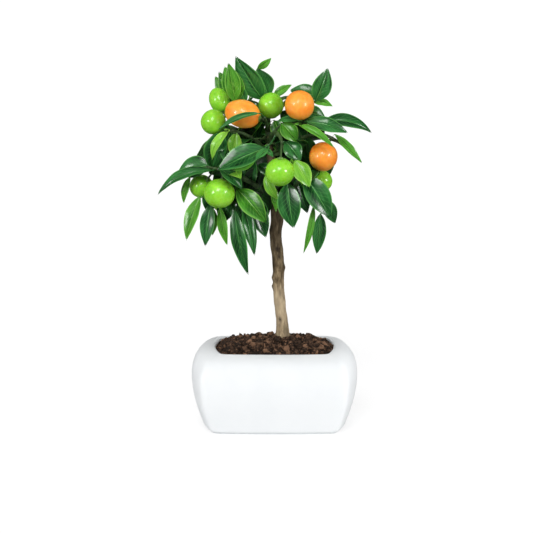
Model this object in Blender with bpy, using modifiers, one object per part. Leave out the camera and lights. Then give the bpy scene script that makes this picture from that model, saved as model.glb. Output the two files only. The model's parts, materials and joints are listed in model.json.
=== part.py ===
"""Potted kumquat tree: a white ceramic pot, soil, a trunk with branches, fruit and leaves.

Metres, +Z up. The origin is the middle of the pot's flat base and the tree's front looks along -Y.
Places and sizes below are in millimetres and are turned into metres where a mesh or curve is made.
"""
import math

import bmesh
import bpy
from mathutils import Vector

MM = 0.001
GAP = 0.5                  # clearance between two pieces that touch

# The pot: a cushion-shaped rectangular bowl
POT_WIDTH = 166.0
POT_DEPTH = 126.0
POT_SQUARENESS = 16.0      # exponent of the rounded rectangle seen from above
POT_SIDE_POINTS = 10       # points along each of its four sides
END_BULGE = 0.075          # how far the ends swell out between their corners, as a share of width
FRONT_BULGE = 0.05         # and the front and back, as a share of depth
POT_WALL = 8.0
POT_FLOOR = 8.0            # thickness of the pot's floor
POT_LIP = 79.2             # height where the opening is narrowest
# height above the table, and how far in from the widest outline the outside lies there
POT_PROFILE = [(0.0, 15.4), (1.2, 13.0), (8.0, 9.9), (24.0, 4.4), (41.0, 0.8), (52.0, 0.0),
               (62.0, 1.0), (70.6, 4.4), (76.9, 10.6), (79.7, 17.0), (80.4, 20.5)]

# The soil: fills the pot and is mounded round the trunk
SOIL_GAP = 0.4
SOIL_EDGE = 78.2           # height of the soil along the pot's wall
SOIL_CREST = 88.0          # and in the middle of the mound
SOIL_RINGS = 5
SOCKET_RADIUS = 9.6        # room in the soil for the foot of the trunk
SOCKET_FLOOR = 64.0
SOCKET_TOP = 110.0

# Leaves: a folded blade on a short stalk
LEAF_THICKNESS = 0.8
LEAF_FOLD = 0.28           # how much the margins stand above the midrib, for each unit of half width
STALK_WIDTH = 1.8
# place along the blade from its foot to its tip, and the share of the full width there
BLADE = [(0.0, 0.14), (0.12, 0.56), (0.3, 0.91), (0.5, 1.0), (0.7, 0.87), (0.88, 0.5), (1.0, 0.09)]

# Fruit: outline from the blossom end to the stalk end, as shares of half length and radius
FRUIT_POINTS = 8
FRUIT_SIDES = 10
FRUIT_STALK = 1.1
STALK_SHOULDER = 2.6       # the small green cap where the stalk meets the fruit

SOIL = "soil"
TRUNK = "trunk"

# Each stem: its points (x, y, z, radius), from where it leaves its parent to its end
STEMS = {
    TRUNK: [(8.6, 0, 66, 8.4), (8.6, 0, 82, 8.2), (8.2, 0, 92, 6.7), (7.6, 0, 104, 5.8),
            (6.4, 0, 116, 5.5), (4.5, 0, 134, 6.0), (4.0, 0, 153, 5.7), (3.2, 0, 172, 5.9),
            (1.2, 0, 191, 5.9), (2.6, 0, 210, 6.1), (1.6, 0, 227, 5.7), (0, 0, 242, 4.8)],
    "leader": [(-0.2, 0, 242.6, 4.6), (-3, 1, 262, 4.0), (-5, 2, 284, 3.5), (-6.6, 4, 301, 3.0),
               (-7, 8, 318, 2.6), (-8, 12, 333, 2.1), (-10, 13, 341, 1.6)],
    "branch_left": [(-9.5, -2.5, 237, 2.7), (-22, -10, 248, 2.4), (-42, -18, 260, 2.0),
                    (-52, -20.5, 264, 1.6), (-58, -21.5, 265, 1.3)],
    "branch_left_low": [(-10, -3, 222, 2.4), (-22, -8, 228, 2.1), (-38, -13, 229, 1.8),
                        (-54, -14, 228, 1.5), (-67, -18, 235, 1.2)],
    "branch_left_middle": [(-11, -2, 283, 2.2), (-22, -12, 294, 1.9), (-36, -20, 302, 1.6),
                           (-50, -26, 306, 1.3)],
    "branch_upper_left": [(-13.5, 4, 310, 2.3), (-24, 3, 313, 2.0), (-36, 4, 315, 1.7),
                          (-46, 4, 314, 1.5), (-53, 2, 312, 1.2)],
    "branch_front_left": [(-7.4, -3.5, 301, 2.0), (-7.5, -14, 306, 1.8), (-8, -28, 313, 1.6),
                          (-10, -41, 321, 1.3)],
    "branch_front": [(-3.6, -6, 290, 2.6), (-2, -22, 300, 2.3), (2, -42, 305, 1.9),
                     (6, -57, 303, 1.6), (7, -64, 299, 1.3)],
    "branch_front_low": [(2, -10, 245, 2.8), (8, -22, 258, 2.4), (13, -32, 269, 1.9),
                         (16, -38, 272, 1.4)],
    "branch_right_high": [(2.5, -3, 297, 2.4), (12, -12, 305, 2.1), (25, -21, 311, 1.8),
                          (36, -20, 313, 1.5), (43, -16, 312, 1.2)],
    "branch_upper_right": [(-0.2, 4, 314, 2.3), (8, -1, 325, 2.0), (18, -8, 336, 1.7),
                           (29, -12, 338, 1.5), (38, -14, 327, 1.2)],
    "branch_right_middle": [(3, -1, 277, 2.5), (14, -7, 288, 2.1), (30, -13, 296, 1.8),
                            (48, -16, 298.5, 1.6), (64, -12, 290, 1.4), (73, -10, 282, 1.2)],
    "branch_right": [(9.2, 1.5, 240, 2.8), (22, 0, 252, 2.4), (36, 1, 262, 2.0), (48, 3, 268, 1.7),
                     (59, 6, 271, 1.3)],
    "branch_right_low": [(11, -3, 226, 2.5), (19, -14, 242, 2.2), (28, -25, 257, 1.8),
                         (39, -28, 252, 1.6), (48, -26, 237, 1.4), (52, -24, 223, 1.2)],
    "branch_back_left": [(-7, 8.5, 270, 2.7), (-15, 22, 279, 2.4), (-30, 41, 288, 2.0),
                         (-44, 57, 292, 1.7), (-53, 67, 290, 1.3)],
    "branch_back_right": [(2.6, 8, 264, 2.7), (14, 21, 272, 2.4), (30, 38, 280, 2.0),
                          (44, 54, 282, 1.7), (53, 64, 278, 1.3)],
    "branch_back_top": [(-4.5, 13.5, 321, 2.2), (3, 27, 325, 1.9), (13, 43, 325, 1.6),
                        (21, 57, 321, 1.3)],
    "branch_back_low": [(-2.5, 9.5, 228, 2.7), (-14, 25, 236, 2.4), (-32, 43, 241, 2.0),
                        (-49, 58, 239, 1.5)],
}

# Each fruit: the stem it hangs from, its centre, its radius, its half length and its colour
FRUITS = {
    "fruit_upper_left_back": ("branch_upper_left", (-55, 10, 328), 10.0, 13.3, "green"),
    "fruit_upper_left": ("branch_upper_left", (-61, -14, 311), 12.5, 12.5, "green"),
    "fruit_orange_left": ("branch_front_left", (-31.5, -28, 322), 14.0, 18.5, "orange"),
    "fruit_upper_middle": ("leader", (-3.5, -10, 327), 12.8, 12.8, "green"),
    "fruit_orange_right": ("branch_upper_right", (24.7, -34, 332), 14.8, 14.8, "orange"),
    "fruit_orange_low_right": ("branch_right_middle", (48.4, -20, 277), 14.2, 14.8, "orange"),
    "fruit_right_behind": ("branch_right", (47.5, 2, 248), 10.2, 10.6, "green"),
    "fruit_front": ("branch_front", (5.2, -62, 270), 14.5, 14.2, "green"),
    "fruit_low_left": ("branch_left", (-55, -32, 242), 15.6, 14.6, "green"),
    "fruit_far_left": ("branch_left", (-73, -8, 244.5), 11.7, 11.7, "green"),
    "fruit_back_left": ("branch_back_left", (-50, 63, 267), 13.2, 14.0, "orange"),
    "fruit_back_right": ("branch_back_right", (46, 62, 259), 12.5, 12.5, "green"),
    "fruit_back_top": ("branch_back_top", (23, 58, 299), 13.0, 13.5, "orange"),
    "fruit_back_low": ("branch_back_low", (-52, 60, 217), 12.2, 12.5, "green"),
}

# Each leaf: its stem, the foot and tip of its blade, its width, the way its upper side looks,
# how far its middle bows towards that side, and whether it is an old or a young leaf
LEAVES = {
    "leaf_crown_left": ("leader", (-12, 2, 331), (-39, -9, 377), 24, (-0.3, -0.9, 0.2), 3, "old"),
    "leaf_crown_middle": ("leader", (-6, 6, 333), (-17, 5, 362), 20, (0.3, -0.9, 0.2), 1, "old"),
    "leaf_crown_right": ("branch_upper_right", (41, -17, 333), (53, -15, 366), 20,
                         (0.1, -0.9, -0.2), 3, "old"),
    "leaf_new_left": ("branch_upper_left", (-41, 21, 323), (-59.5, 31, 349), 16,
                      (-0.5, -0.8, 0.3), 2, "young"),
    "leaf_new_top": ("branch_upper_left", (-40, -7, 331), (-46, -13, 371), 17,
                     (0.3, -0.9, 0.2), 2, "young"),
    "leaf_far_right": ("branch_right_high", (47, -13, 310), (97, -10, 299), 19,
                       (0.2, -0.5, 0.8), 9, "old"),
    "leaf_right": ("branch_right_high", (31, -32, 315), (73, -35, 304), 16,
                   (0.1, -0.8, 0.6), 5, "old"),
    "leaf_right_front": ("branch_right_high", (24, -43, 314), (59, -51, 292), 10,
                         (0.3, -0.6, 0.75), 4, "young"),
    "leaf_over_orange": ("branch_front_left", (-16, -47, 326), (-56, -47, 309), 9,
                         (-0.1, -0.5, 0.85), 5, "young"),
    "leaf_left_hanging": ("branch_left_middle", (-46, -35, 306), (-62, -37, 277), 11,
                          (-0.7, -0.7, 0.1), 6, "young"),
    "leaf_left_broad": ("branch_left_middle", (-53, -22, 302), (-63, -8, 261), 25,
                        (-0.1, -1.0, 0.2), 3, "old"),
    "leaf_front_left": ("branch_front", (-10, -46, 291), (-57, -58, 271), 24,
                        (-0.1, -0.8, 0.6), 2, "old"),
    "leaf_far_left": ("branch_left", (-62, -24, 264), (-117, -22, 238), 15,
                      (-0.3, -0.5, 0.8), 10, "old"),
    "leaf_low_far_left": ("branch_left_low", (-74, -19, 236), (-88, -27, 193), 16,
                          (-0.6, -0.8, 0.1), 3, "young"),
    "leaf_low_left": ("branch_left_low", (-64, -20, 228), (-69, -27, 187), 15,
                      (-0.2, -1.0, 0.2), 3, "old"),
    "leaf_lowest": ("branch_left_low", (-40, -20, 223), (-26, -28, 158), 17,
                    (-0.5, -0.9, 0.2), 4, "old"),
    "leaf_low_middle": ("branch_left_low", (-31, -18, 226), (-20, -25, 177), 14,
                        (0.4, -0.9, 0.2), 3, "old"),
    "leaf_middle": ("branch_left", (-37, -25, 245), (-8, -38, 213), 23,
                    (0.0, -0.9, 0.6), 3, "old"),
    "leaf_over_green": ("branch_left", (-53, -36, 267), (-32, -52, 250), 16,
                        (0.3, -0.7, 0.7), 3, "old"),
    "leaf_front_low": ("branch_front_low", (13, -50, 256), (19, -54, 211), 24,
                       (-0.2, -1.0, 0.2), 4, "old"),
    "leaf_front_small": ("branch_front_low", (20, -42, 277), (35, -51, 252), 19,
                         (0.3, -0.9, 0.4), 2, "young"),
    "leaf_low_right": ("branch_right_low", (31, -34, 259), (56, -43, 219), 25,
                       (0.1, -0.9, 0.4), 4, "old"),
    "leaf_right_hanging": ("branch_right_low", (46, -29, 221), (42, -27, 179), 14,
                           (0.1, -1.0, 0.1), 3, "old"),
    "leaf_back_left": ("branch_back_left", (-54, 71, 282), (-80, 86, 238), 18,
                       (-0.5, 0.6, 0.6), 4, "old"),
    "leaf_back_right": ("branch_back_right", (53, 69, 272), (49, 86, 226), 18,
                        (0.2, 0.8, 0.5), 4, "old"),
    "leaf_back_top": ("branch_back_top", (25, 63, 323), (34, 88, 301), 17, (0.3, 0.5, 0.8), 5, "old"),
}


def mm(x, y, z):
    """A point given in millimetres, in metres."""
    return Vector((x, y, z)) * MM


def principled(name, colour, roughness):
    """A plain Principled BSDF material."""
    material = bpy.data.materials.new(name)
    material.use_nodes = True
    shader = material.node_tree.nodes["Principled BSDF"]
    shader.inputs["Base Color"].default_value = (*colour, 1.0)
    shader.inputs["Roughness"].default_value = roughness
    shader.inputs["Metallic"].default_value = 0.0
    return material


def add_object(name, data, material, collection):
    """An object for a mesh or a curve, with one material, in a collection."""
    thing = bpy.data.objects.new(name, data)
    data.materials.append(material)
    collection.objects.link(thing)
    return thing


def mesh_object(name, bm, material, collection, crease_angle=40.0):
    """An object from a bmesh, shaded smooth but for its sharp edges."""
    mesh = bpy.data.meshes.new(name)
    bm.to_mesh(mesh)
    bm.free()
    mesh.shade_smooth()
    mesh.set_sharp_from_angle(angle=math.radians(crease_angle))
    return add_object(name, mesh, material, collection)


def rounded_rectangle(half_x, half_y, z):
    """The points of a horizontal rounded rectangle with swelling sides, counterclockwise."""
    points = []
    for quarter in range(4):
        for step in range(POT_SIDE_POINTS):
            along = math.sin(math.pi * (step / POT_SIDE_POINTS - 0.5))
            rounding = (1 + abs(along) ** POT_SQUARENESS) ** (-1 / POT_SQUARENESS)
            x, y = rounding, along * rounding
            for _ in range(quarter):
                x, y = -y, x
            points.append(mm(x * (1 - END_BULGE * y * y) * half_x,
                             y * (1 - FRONT_BULGE * x * x) * half_y, z))
    return points


def loft(rings):
    """A closed shell through rings of points, with a flat face over the first and last."""
    bm = bmesh.new()
    rows = [[bm.verts.new(point) for point in ring] for ring in rings]
    for lower, upper in zip(rows, rows[1:]):
        for i in range(len(lower)):
            j = (i + 1) % len(lower)
            bm.faces.new((lower[i], lower[j], upper[j], upper[i]))
    bm.faces.new(list(reversed(rows[0])))
    bm.faces.new(rows[-1])
    bmesh.ops.recalc_face_normals(bm, faces=bm.faces)
    return bm


def outline(z, thickness):
    """Half width and half depth of the pot at a height, that far inside its outer face."""
    for (low, inset_low), (high, inset_high) in zip(POT_PROFILE, POT_PROFILE[1:]):
        if z <= high:
            share = (z - low) / (high - low)
            inset = inset_low + (inset_high - inset_low) * share
            break
    return POT_WIDTH / 2 - inset - thickness, POT_DEPTH / 2 - inset - thickness


def cavity_heights(top):
    """Heights up the hollow where it has a ring of points."""
    return [POT_FLOOR] + [z for z, _ in POT_PROFILE if POT_FLOOR < z < top] + [top]


def make_pot(glaze, collection):
    """The pot: up the bulging outside, over the rim and down the inside to its floor."""
    rings = [rounded_rectangle(*outline(z, 0.0), z) for z, _ in POT_PROFILE]
    for z in reversed(cavity_heights(POT_LIP)):
        rings.append(rounded_rectangle(*outline(z, POT_WALL), z))
    return mesh_object("pot", loft(rings), glaze, collection, 30.0)


def make_soil(earth, collection, cutters):
    """The soil: the hollow's shape with a mounded top and a socket for the trunk's foot."""
    rings = []
    for z in cavity_heights(SOIL_EDGE):
        lift = SOIL_GAP if z == POT_FLOOR else 0.0
        rings.append(rounded_rectangle(*outline(z, POT_WALL + SOIL_GAP), z + lift))
    half_x, half_y = outline(POT_LIP, POT_WALL + SOIL_GAP)
    for step in range(SOIL_RINGS):
        share = 1.0 - step / SOIL_RINGS
        z = SOIL_EDGE + (SOIL_CREST - SOIL_EDGE) * (1.0 - share ** 2)
        rings.append(rounded_rectangle(half_x * share, half_y * share, z + SOIL_GAP))
    soil = mesh_object(SOIL, loft(rings), earth, collection)

    foot_x, foot_y = STEMS[TRUNK][0][:2]
    bm = bmesh.new()
    bmesh.ops.create_cone(bm, cap_ends=True, segments=20, radius1=SOCKET_RADIUS * MM,
                          radius2=SOCKET_RADIUS * MM, depth=(SOCKET_TOP - SOCKET_FLOOR) * MM)
    bmesh.ops.translate(bm, verts=bm.verts,
                        vec=mm(foot_x, foot_y, (SOCKET_TOP + SOCKET_FLOOR) / 2))
    socket = mesh_object("trunk_socket", bm, earth, cutters)
    socket.hide_render = True
    socket.display_type = "WIRE"
    cut = soil.modifiers.new("trunk_socket", "BOOLEAN")
    cut.operation = "DIFFERENCE"
    cut.object = socket
    return soil


def smooth_path(points, steps):
    """Points (x, y, z, radius) along a Catmull-Rom curve through the given ones."""
    def extended(i):
        if i < 0:
            return [2 * a - b for a, b in zip(points[0], points[1])]
        if i >= len(points):
            return [2 * a - b for a, b in zip(points[-1], points[-2])]
        return points[i]

    path = []
    for i in range(len(points) - 1):
        a, b, c, d = (extended(i + k) for k in (-1, 0, 1, 2))
        for step in range(steps):
            t = step / steps
            path.append(tuple(
                0.5 * (2 * q + (r - p) * t + (2 * p - 5 * q + 4 * r - s) * t ** 2
                       + (3 * q - p - 3 * r + s) * t ** 3)
                for p, q, r, s in zip(a, b, c, d)))
    path.append(tuple(points[-1]))
    return path


def make_stem(name, points, bark, collection):
    """A tapering round stem: a curve with a bevel along a smooth path."""
    path = smooth_path(points, 1 if name == TRUNK else 2)
    curve = bpy.data.curves.new(name, "CURVE")
    curve.dimensions = "3D"
    curve.bevel_depth = MM
    curve.bevel_resolution = 3 if name == TRUNK else 2
    curve.use_fill_caps = True
    spline = curve.splines.new("POLY")
    spline.points.add(len(path) - 1)
    for point, (x, y, z, radius) in zip(spline.points, path):
        point.co = (*mm(x, y, z), 1.0)
        point.radius = radius
    add_object(name, curve, bark, collection)


def nearest_on_stem(stem, place):
    """The point of a stem's middle line that is nearest to a place, and the radius there."""
    path = smooth_path(STEMS[stem], 8)
    best = min(path, key=lambda p: (Vector(p[:3]) - place).length)
    return Vector(best[:3]), best[3]


def make_fruit(name, stem, centre, radius, half_length, skin, collection):
    """A round fruit with its stalk, turned about the line from its middle to its stem."""
    centre = Vector(centre)
    twig, twig_radius = nearest_on_stem(stem, centre)
    away = twig - centre
    stalk_end = away.length - twig_radius - GAP
    axis = away.normalized()

    outline = [(0.0, stalk_end), (FRUIT_STALK, stalk_end), (FRUIT_STALK, half_length + 1.2),
               (STALK_SHOULDER, half_length + 0.4)]
    for step in range(1, FRUIT_POINTS):
        angle = math.pi * step / FRUIT_POINTS
        outline.append((math.sin(angle) * radius, math.cos(angle) * half_length))
    outline.append((0.0, -half_length))

    bm = bmesh.new()
    verts = [bm.verts.new(mm(r, 0, z)) for r, z in outline]
    edges = [bm.edges.new(pair) for pair in zip(verts, verts[1:])]
    bmesh.ops.spin(bm, geom=verts + edges, cent=(0, 0, 0), axis=(0, 0, 1), angle=math.tau,
                   steps=FRUIT_SIDES, use_merge=True)
    bmesh.ops.remove_doubles(bm, verts=bm.verts, dist=0.01 * MM)
    bmesh.ops.recalc_face_normals(bm, faces=bm.faces)
    fruit = mesh_object(name, bm, skin, collection, 60.0)
    fruit.rotation_mode = "QUATERNION"
    fruit.rotation_quaternion = axis.to_track_quat("Z", "Y")
    fruit.location = mm(*centre)


def make_leaf(name, stem, foot, tip, width, looks, bow, green, collection):
    """A folded leaf blade with its stalk: a grid laid along a bowed line, then thickened."""
    foot, tip = Vector(foot), Vector(tip)
    twig, twig_radius = nearest_on_stem(stem, foot)
    start = twig + (foot - twig).normalized() * (twig_radius + GAP)
    upper = Vector(looks).normalized()
    chord = (tip - foot).normalized()
    lift = (upper - chord * upper.dot(chord)).normalized()
    middle = (foot + tip) / 2 + lift * bow * 2

    def along(t):
        return foot * (1 - t) ** 2 + middle * 2 * t * (1 - t) + tip * t ** 2

    line = [start, (start + foot) / 2] + [along(t) for t, _ in BLADE]
    half_widths = [STALK_WIDTH / 2] * 2 + [width / 2 * share for _, share in BLADE]

    bm = bmesh.new()
    last = len(line) - 1
    bmesh.ops.create_grid(bm, x_segments=2, y_segments=last, size=0.5)
    for vert in bm.verts:
        side = round(vert.co.x * 2)
        i = round((vert.co.y + 0.5) * last)
        run = (line[min(i + 1, last)] - line[max(i - 1, 0)]).normalized()
        across = run.cross(lift).normalized()
        normal = across.cross(run).normalized()
        reach = half_widths[i]
        place = line[i] + across * side * reach + normal * abs(side) * reach * LEAF_FOLD
        vert.co = mm(*place)
    leaf = mesh_object(name, bm, green, collection, 60.0)
    thick = leaf.modifiers.new("thickness", "SOLIDIFY")
    thick.thickness = LEAF_THICKNESS * MM
    thick.offset = 0.0


def main():
    for thing in list(bpy.data.objects):
        bpy.data.objects.remove(thing, do_unlink=True)
    tree = bpy.data.collections.new("potted_kumquat_tree")
    cutters = bpy.data.collections.new("cutters")
    for collection in (tree, cutters):
        bpy.context.scene.collection.children.link(collection)

    glaze = principled("white_glaze", (0.86, 0.87, 0.88), 0.25)
    earth = principled("earth", (0.09, 0.055, 0.038), 0.9)
    bark = principled("bark", (0.16, 0.115, 0.065), 0.8)
    twig = principled("green_twig", (0.07, 0.15, 0.03), 0.6)
    skins = {"green": principled("green_skin", (0.25, 0.6, 0.035), 0.3),
             "orange": principled("orange_skin", (0.95, 0.36, 0.03), 0.35)}
    greens = {"old": principled("leaf", (0.03, 0.13, 0.02), 0.3),
              "young": principled("young_leaf", (0.2, 0.45, 0.07), 0.35)}

    make_pot(glaze, tree)
    make_soil(earth, tree, cutters)
    for name, points in STEMS.items():
        make_stem(name, points, bark if name in (TRUNK, "leader") else twig, tree)
    for name, (stem, centre, radius, half_length, colour) in FRUITS.items():
        make_fruit(name, stem, centre, radius, half_length, skins[colour], tree)
    for name, (stem, foot, tip, width, looks, bow, age) in LEAVES.items():
        make_leaf(name, stem, foot, tip, width, looks, bow, greens[age], tree)


main()
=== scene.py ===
"""The looks of the potted kumquat tree: glazed pot, compost, bark, twigs, fruit and leaves.

Lengths are in metres where they go into a mesh; the listed places are in millimetres, in the
frame of the CAD model: +Z up, the tree's front towards -Y, the origin under the middle of the pot.
"""
import json
import math
import random

import bmesh
import bpy
import numpy as np
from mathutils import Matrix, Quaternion, Vector, noise
from mathutils.bvhtree import BVHTree


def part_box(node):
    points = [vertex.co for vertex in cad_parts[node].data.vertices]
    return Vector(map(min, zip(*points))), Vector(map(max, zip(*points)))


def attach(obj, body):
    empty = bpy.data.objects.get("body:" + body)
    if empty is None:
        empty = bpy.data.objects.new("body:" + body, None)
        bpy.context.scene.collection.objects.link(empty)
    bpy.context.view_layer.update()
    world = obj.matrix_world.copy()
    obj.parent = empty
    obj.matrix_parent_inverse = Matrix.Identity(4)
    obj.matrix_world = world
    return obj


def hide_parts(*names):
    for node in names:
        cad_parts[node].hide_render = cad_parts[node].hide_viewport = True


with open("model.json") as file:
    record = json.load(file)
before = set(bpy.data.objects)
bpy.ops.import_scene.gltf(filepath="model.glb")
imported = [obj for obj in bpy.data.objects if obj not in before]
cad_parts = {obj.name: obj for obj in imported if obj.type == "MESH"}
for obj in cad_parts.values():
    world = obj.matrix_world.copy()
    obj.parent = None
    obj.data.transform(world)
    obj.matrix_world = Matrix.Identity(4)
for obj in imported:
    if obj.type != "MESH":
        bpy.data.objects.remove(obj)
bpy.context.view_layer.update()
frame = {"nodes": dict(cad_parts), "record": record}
nodes = frame["nodes"]

MM = 0.001
WELD = 0.01 * MM
ROOT = "root"
GOLDEN_ANGLE = math.radians(137.5)
FEWEST_RINGS = 8           # along a stem
TRUNK_SPACING = 1.1 * MM   # between rings
TWIG_SPACING = 1.3 * MM
dice = random.Random(7)


# ---------------------------------------------------------------- small helpers

def clear_selection():
    """Nothing selected, so that an operator acts only on what is made next."""
    bpy.ops.object.select_all(action="DESELECT")


def only(thing):
    """Makes one object the selected and active one."""
    clear_selection()
    thing.select_set(True)
    bpy.context.view_layer.objects.active = thing


def added(name):
    """Names the object that a primitive operator has just added."""
    thing = bpy.context.object
    thing.name = name
    thing.data.name = name
    return thing


def apply_modifier(thing, kind, **settings):
    """Adds a modifier with its settings and applies it."""
    only(thing)
    modifier = thing.modifiers.new(kind.lower(), kind)
    for key, value in settings.items():
        setattr(modifier, key, value)
    bpy.ops.object.modifier_apply(modifier=modifier.name)


def join(name, things):
    """Joins objects into one."""
    clear_selection()
    for thing in things:
        thing.select_set(True)
    bpy.context.view_layer.objects.active = things[0]
    bpy.ops.object.join()
    return added(name)


def linked(name, data):
    """A new object for some data, put in the scene."""
    thing = bpy.data.objects.new(name, data)
    bpy.context.scene.collection.objects.link(thing)
    return thing


def copied(master, name):
    return linked(name, master.data.copy())


def edit_all():
    """Goes into edit mode with everything selected."""
    bpy.ops.object.mode_set(mode="EDIT")
    bpy.ops.mesh.select_all(action="SELECT")


def extrude_up(rise):
    """Extrudes what is selected upwards."""
    bpy.ops.mesh.extrude_region_move(TRANSFORM_OT_translate={"value": (0, 0, rise)})


def face_outwards():
    """Turns every face outwards and leaves edit mode."""
    bpy.ops.mesh.select_all(action="SELECT")
    bpy.ops.mesh.normals_make_consistent(inside=False)
    bpy.ops.object.mode_set(mode="OBJECT")


def points_of(mesh):
    """A mesh's corner points as an array."""
    co = np.empty(len(mesh.vertices) * 3)
    mesh.vertices.foreach_get("co", co)
    return co.reshape(-1, 3)


def set_points(mesh, co):
    mesh.vertices.foreach_set("co", np.ascontiguousarray(co, dtype=np.float32).ravel())
    mesh.update()


def set_value(mesh, name, values):
    """Stores a number at each corner point, for a material to read."""
    layer = mesh.attributes.get(name) or mesh.attributes.new(name, "FLOAT", "POINT")
    layer.data.foreach_set("value", np.asarray(values, dtype=np.float32))


def smooth(thing, angle=None):
    """Shades an object smooth, all over or but for its sharp edges."""
    only(thing)
    if angle is None:
        bpy.ops.object.shade_smooth()
    else:
        bpy.ops.object.shade_smooth_by_angle(angle=math.radians(angle))


def unit(vectors):
    """Vectors of length one."""
    vectors = np.asarray(vectors, float)
    length = np.linalg.norm(vectors, axis=-1, keepdims=True)
    return vectors / np.maximum(length, 1e-12)


def spline(values, at):
    """Reads a smooth (Catmull-Rom) curve through rows of values at places 0 to len - 1."""
    values = np.asarray(values, float)
    last = len(values) - 1
    padded = np.vstack([2 * values[0] - values[1], values, 2 * values[-1] - values[-2]])
    at = np.clip(np.asarray(at, float), 0, last)
    i = np.minimum(at.astype(int), last - 1)
    t = (at - i)[:, None]
    p, q, r, s = (padded[i + k] for k in range(4))
    return 0.5 * (2 * q + (r - p) * t + (2 * p - 5 * q + 4 * r - s) * t ** 2
                  + (3 * q - p - 3 * r + s) * t ** 3)


def evenly(rows, spacing):
    """A path's rows read again at even spacing, and the length along it to each of them."""
    steps = np.linalg.norm(np.diff(rows[:, :3], axis=0), axis=1)
    lengths = np.concatenate([[0], np.cumsum(steps)])
    even = np.linspace(0, lengths[-1], max(FEWEST_RINGS, int(lengths[-1] / spacing)))
    return spline(rows, np.interp(even, lengths, np.arange(len(rows)))), even


def roughened(co, size, seed=0.0, octaves=3):
    """Smooth noise between about -1 and 1 at each point, with features of a given size."""
    shift = Vector((seed, seed * 1.7, seed * 0.3))
    return np.array([noise.fractal(Vector(p) / size + shift, 1.0, 2.0, octaves) for p in co])


def finished(piece, slot, *stands_for):
    """Rides on the one body and hides the CAD nodes that it stands for; the slot it is given is not
    used.
    """
    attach(piece, ROOT)
    if stands_for:
        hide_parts(*stands_for)


# ---------------------------------------------------------------- materials

class Finish:
    """A material with a Principled shader, and short calls to wire its nodes."""

    def __init__(self, name, roughness, **shader):
        self.material = bpy.data.materials.new(name)
        self.material.use_nodes = True
        self.tree = self.material.node_tree
        self.shader = self.tree.nodes["Principled BSDF"]
        self.shader.inputs["Roughness"].default_value = roughness
        for key, value in shader.items():
            self.shader.inputs[key.replace("_", " ")].default_value = value
        self.place = self.add("TexCoord").outputs["Object"]

    def add(self, kind, inputs=None, **settings):
        """A shader node with its settings; an input is a number, a colour or another output."""
        made = self.tree.nodes.new("ShaderNode" + kind)
        for key, value in settings.items():
            setattr(made, key, value)
        for key, value in (inputs or {}).items():
            if isinstance(value, bpy.types.NodeSocket):
                self.tree.links.new(value, made.inputs[key])
            else:
                made.inputs[key].default_value = value
        return made

    def math(self, operation, *values):
        return self.add("Math", dict(enumerate(values)), operation=operation).outputs[0]

    def between(self, value, low, high, to_low=0.0, to_high=1.0):
        """A smooth step from one level to another as a value goes from low to high."""
        return self.add("MapRange", {"Value": value, "From Min": low, "From Max": high,
                                     "To Min": to_low, "To Max": to_high},
                        interpolation_type="SMOOTHSTEP").outputs[0]

    def noise(self, scale, detail=3.0, stretch=(1, 1, 1), rough=0.55):
        place = self.place
        if stretch != (1, 1, 1):
            place = self.add("Mapping", {"Vector": place, "Scale": stretch}).outputs[0]
        return self.add("TexNoise", {"Vector": place, "Scale": scale, "Detail": detail,
                                     "Roughness": rough}).outputs[0]

    def cells(self, scale, feature="F1"):
        return self.add("TexVoronoi", {"Vector": self.place, "Scale": scale},
                        feature=feature).outputs["Distance"]

    def mix(self, share, first, second):
        """Mixes two colours."""
        node = self.add("Mix", data_type="RGBA")
        for socket, value in ((node.inputs[0], share), (node.inputs[6], first),
                              (node.inputs[7], second)):
            if isinstance(value, bpy.types.NodeSocket):
                self.tree.links.new(value, socket)
            elif isinstance(value, tuple):
                socket.default_value = (*value, 1.0)
            else:
                socket.default_value = value
        return node.outputs[2]

    def ramp(self, value, *stops):
        """A colour for each level of a value: stops are (level, colour)."""
        node = self.add("ValToRGB", {"Fac": value})
        ramp = node.color_ramp
        while len(ramp.elements) < len(stops):
            ramp.elements.new(0.5)
        for element, (level, colour) in zip(ramp.elements, stops):
            element.position = level
            element.color = (*colour, 1.0)
        return node.outputs[0]

    def colour(self, value):
        self.tree.links.new(value, self.shader.inputs["Base Color"])

    def roughness(self, value):
        self.tree.links.new(value, self.shader.inputs["Roughness"])

    def bump(self, height, depth, strength=1.0):
        """Relief of a given depth, in metres, over whatever relief is there already."""
        inputs = {"Height": height, "Distance": depth, "Strength": strength}
        normal = self.shader.inputs["Normal"]
        if normal.is_linked:
            inputs["Normal"] = normal.links[0].from_socket
        self.tree.links.new(self.add("Bump", inputs).outputs[0], normal)

    def value(self, name):
        """A number stored at the mesh's points."""
        return self.add("Attribute", attribute_name=name).outputs["Fac"]

    def leaf_place(self):
        """Across from the midrib (0) to the margin (1), and along from foot (0) to tip (1)."""
        uv = self.add("SeparateXYZ", {"Vector": self.add("UVMap").outputs[0]})
        across = self.math("ABSOLUTE", self.math("MULTIPLY_ADD", uv.outputs[0], 2.0, -1.0))
        return across, uv.outputs[1]

    def rib_phase(self, across, along):
        """A count of side ribs, rising along the leaf and falling towards the margin."""
        return self.math("MULTIPLY_ADD", along, VEINS, self.math("MULTIPLY", across, -VEIN_SLANT))

    def streaks(self, across, along):
        """Noise drawn out along a leaf, different on each leaf."""
        uv = self.add("SeparateXYZ", {"Vector": self.add("UVMap").outputs[0]})
        place = self.add("CombineXYZ", {0: self.math("MULTIPLY", uv.outputs[0], across),
                                        1: self.math("MULTIPLY", uv.outputs[1], along),
                                        2: self.math("MULTIPLY", self.value("tone"), STREAK_SHIFT)})
        return self.add("TexNoise", {"Vector": place.outputs[0], "Scale": 1.0, "Detail": 2.0,
                                     "Roughness": 0.5}).outputs[0]


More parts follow.
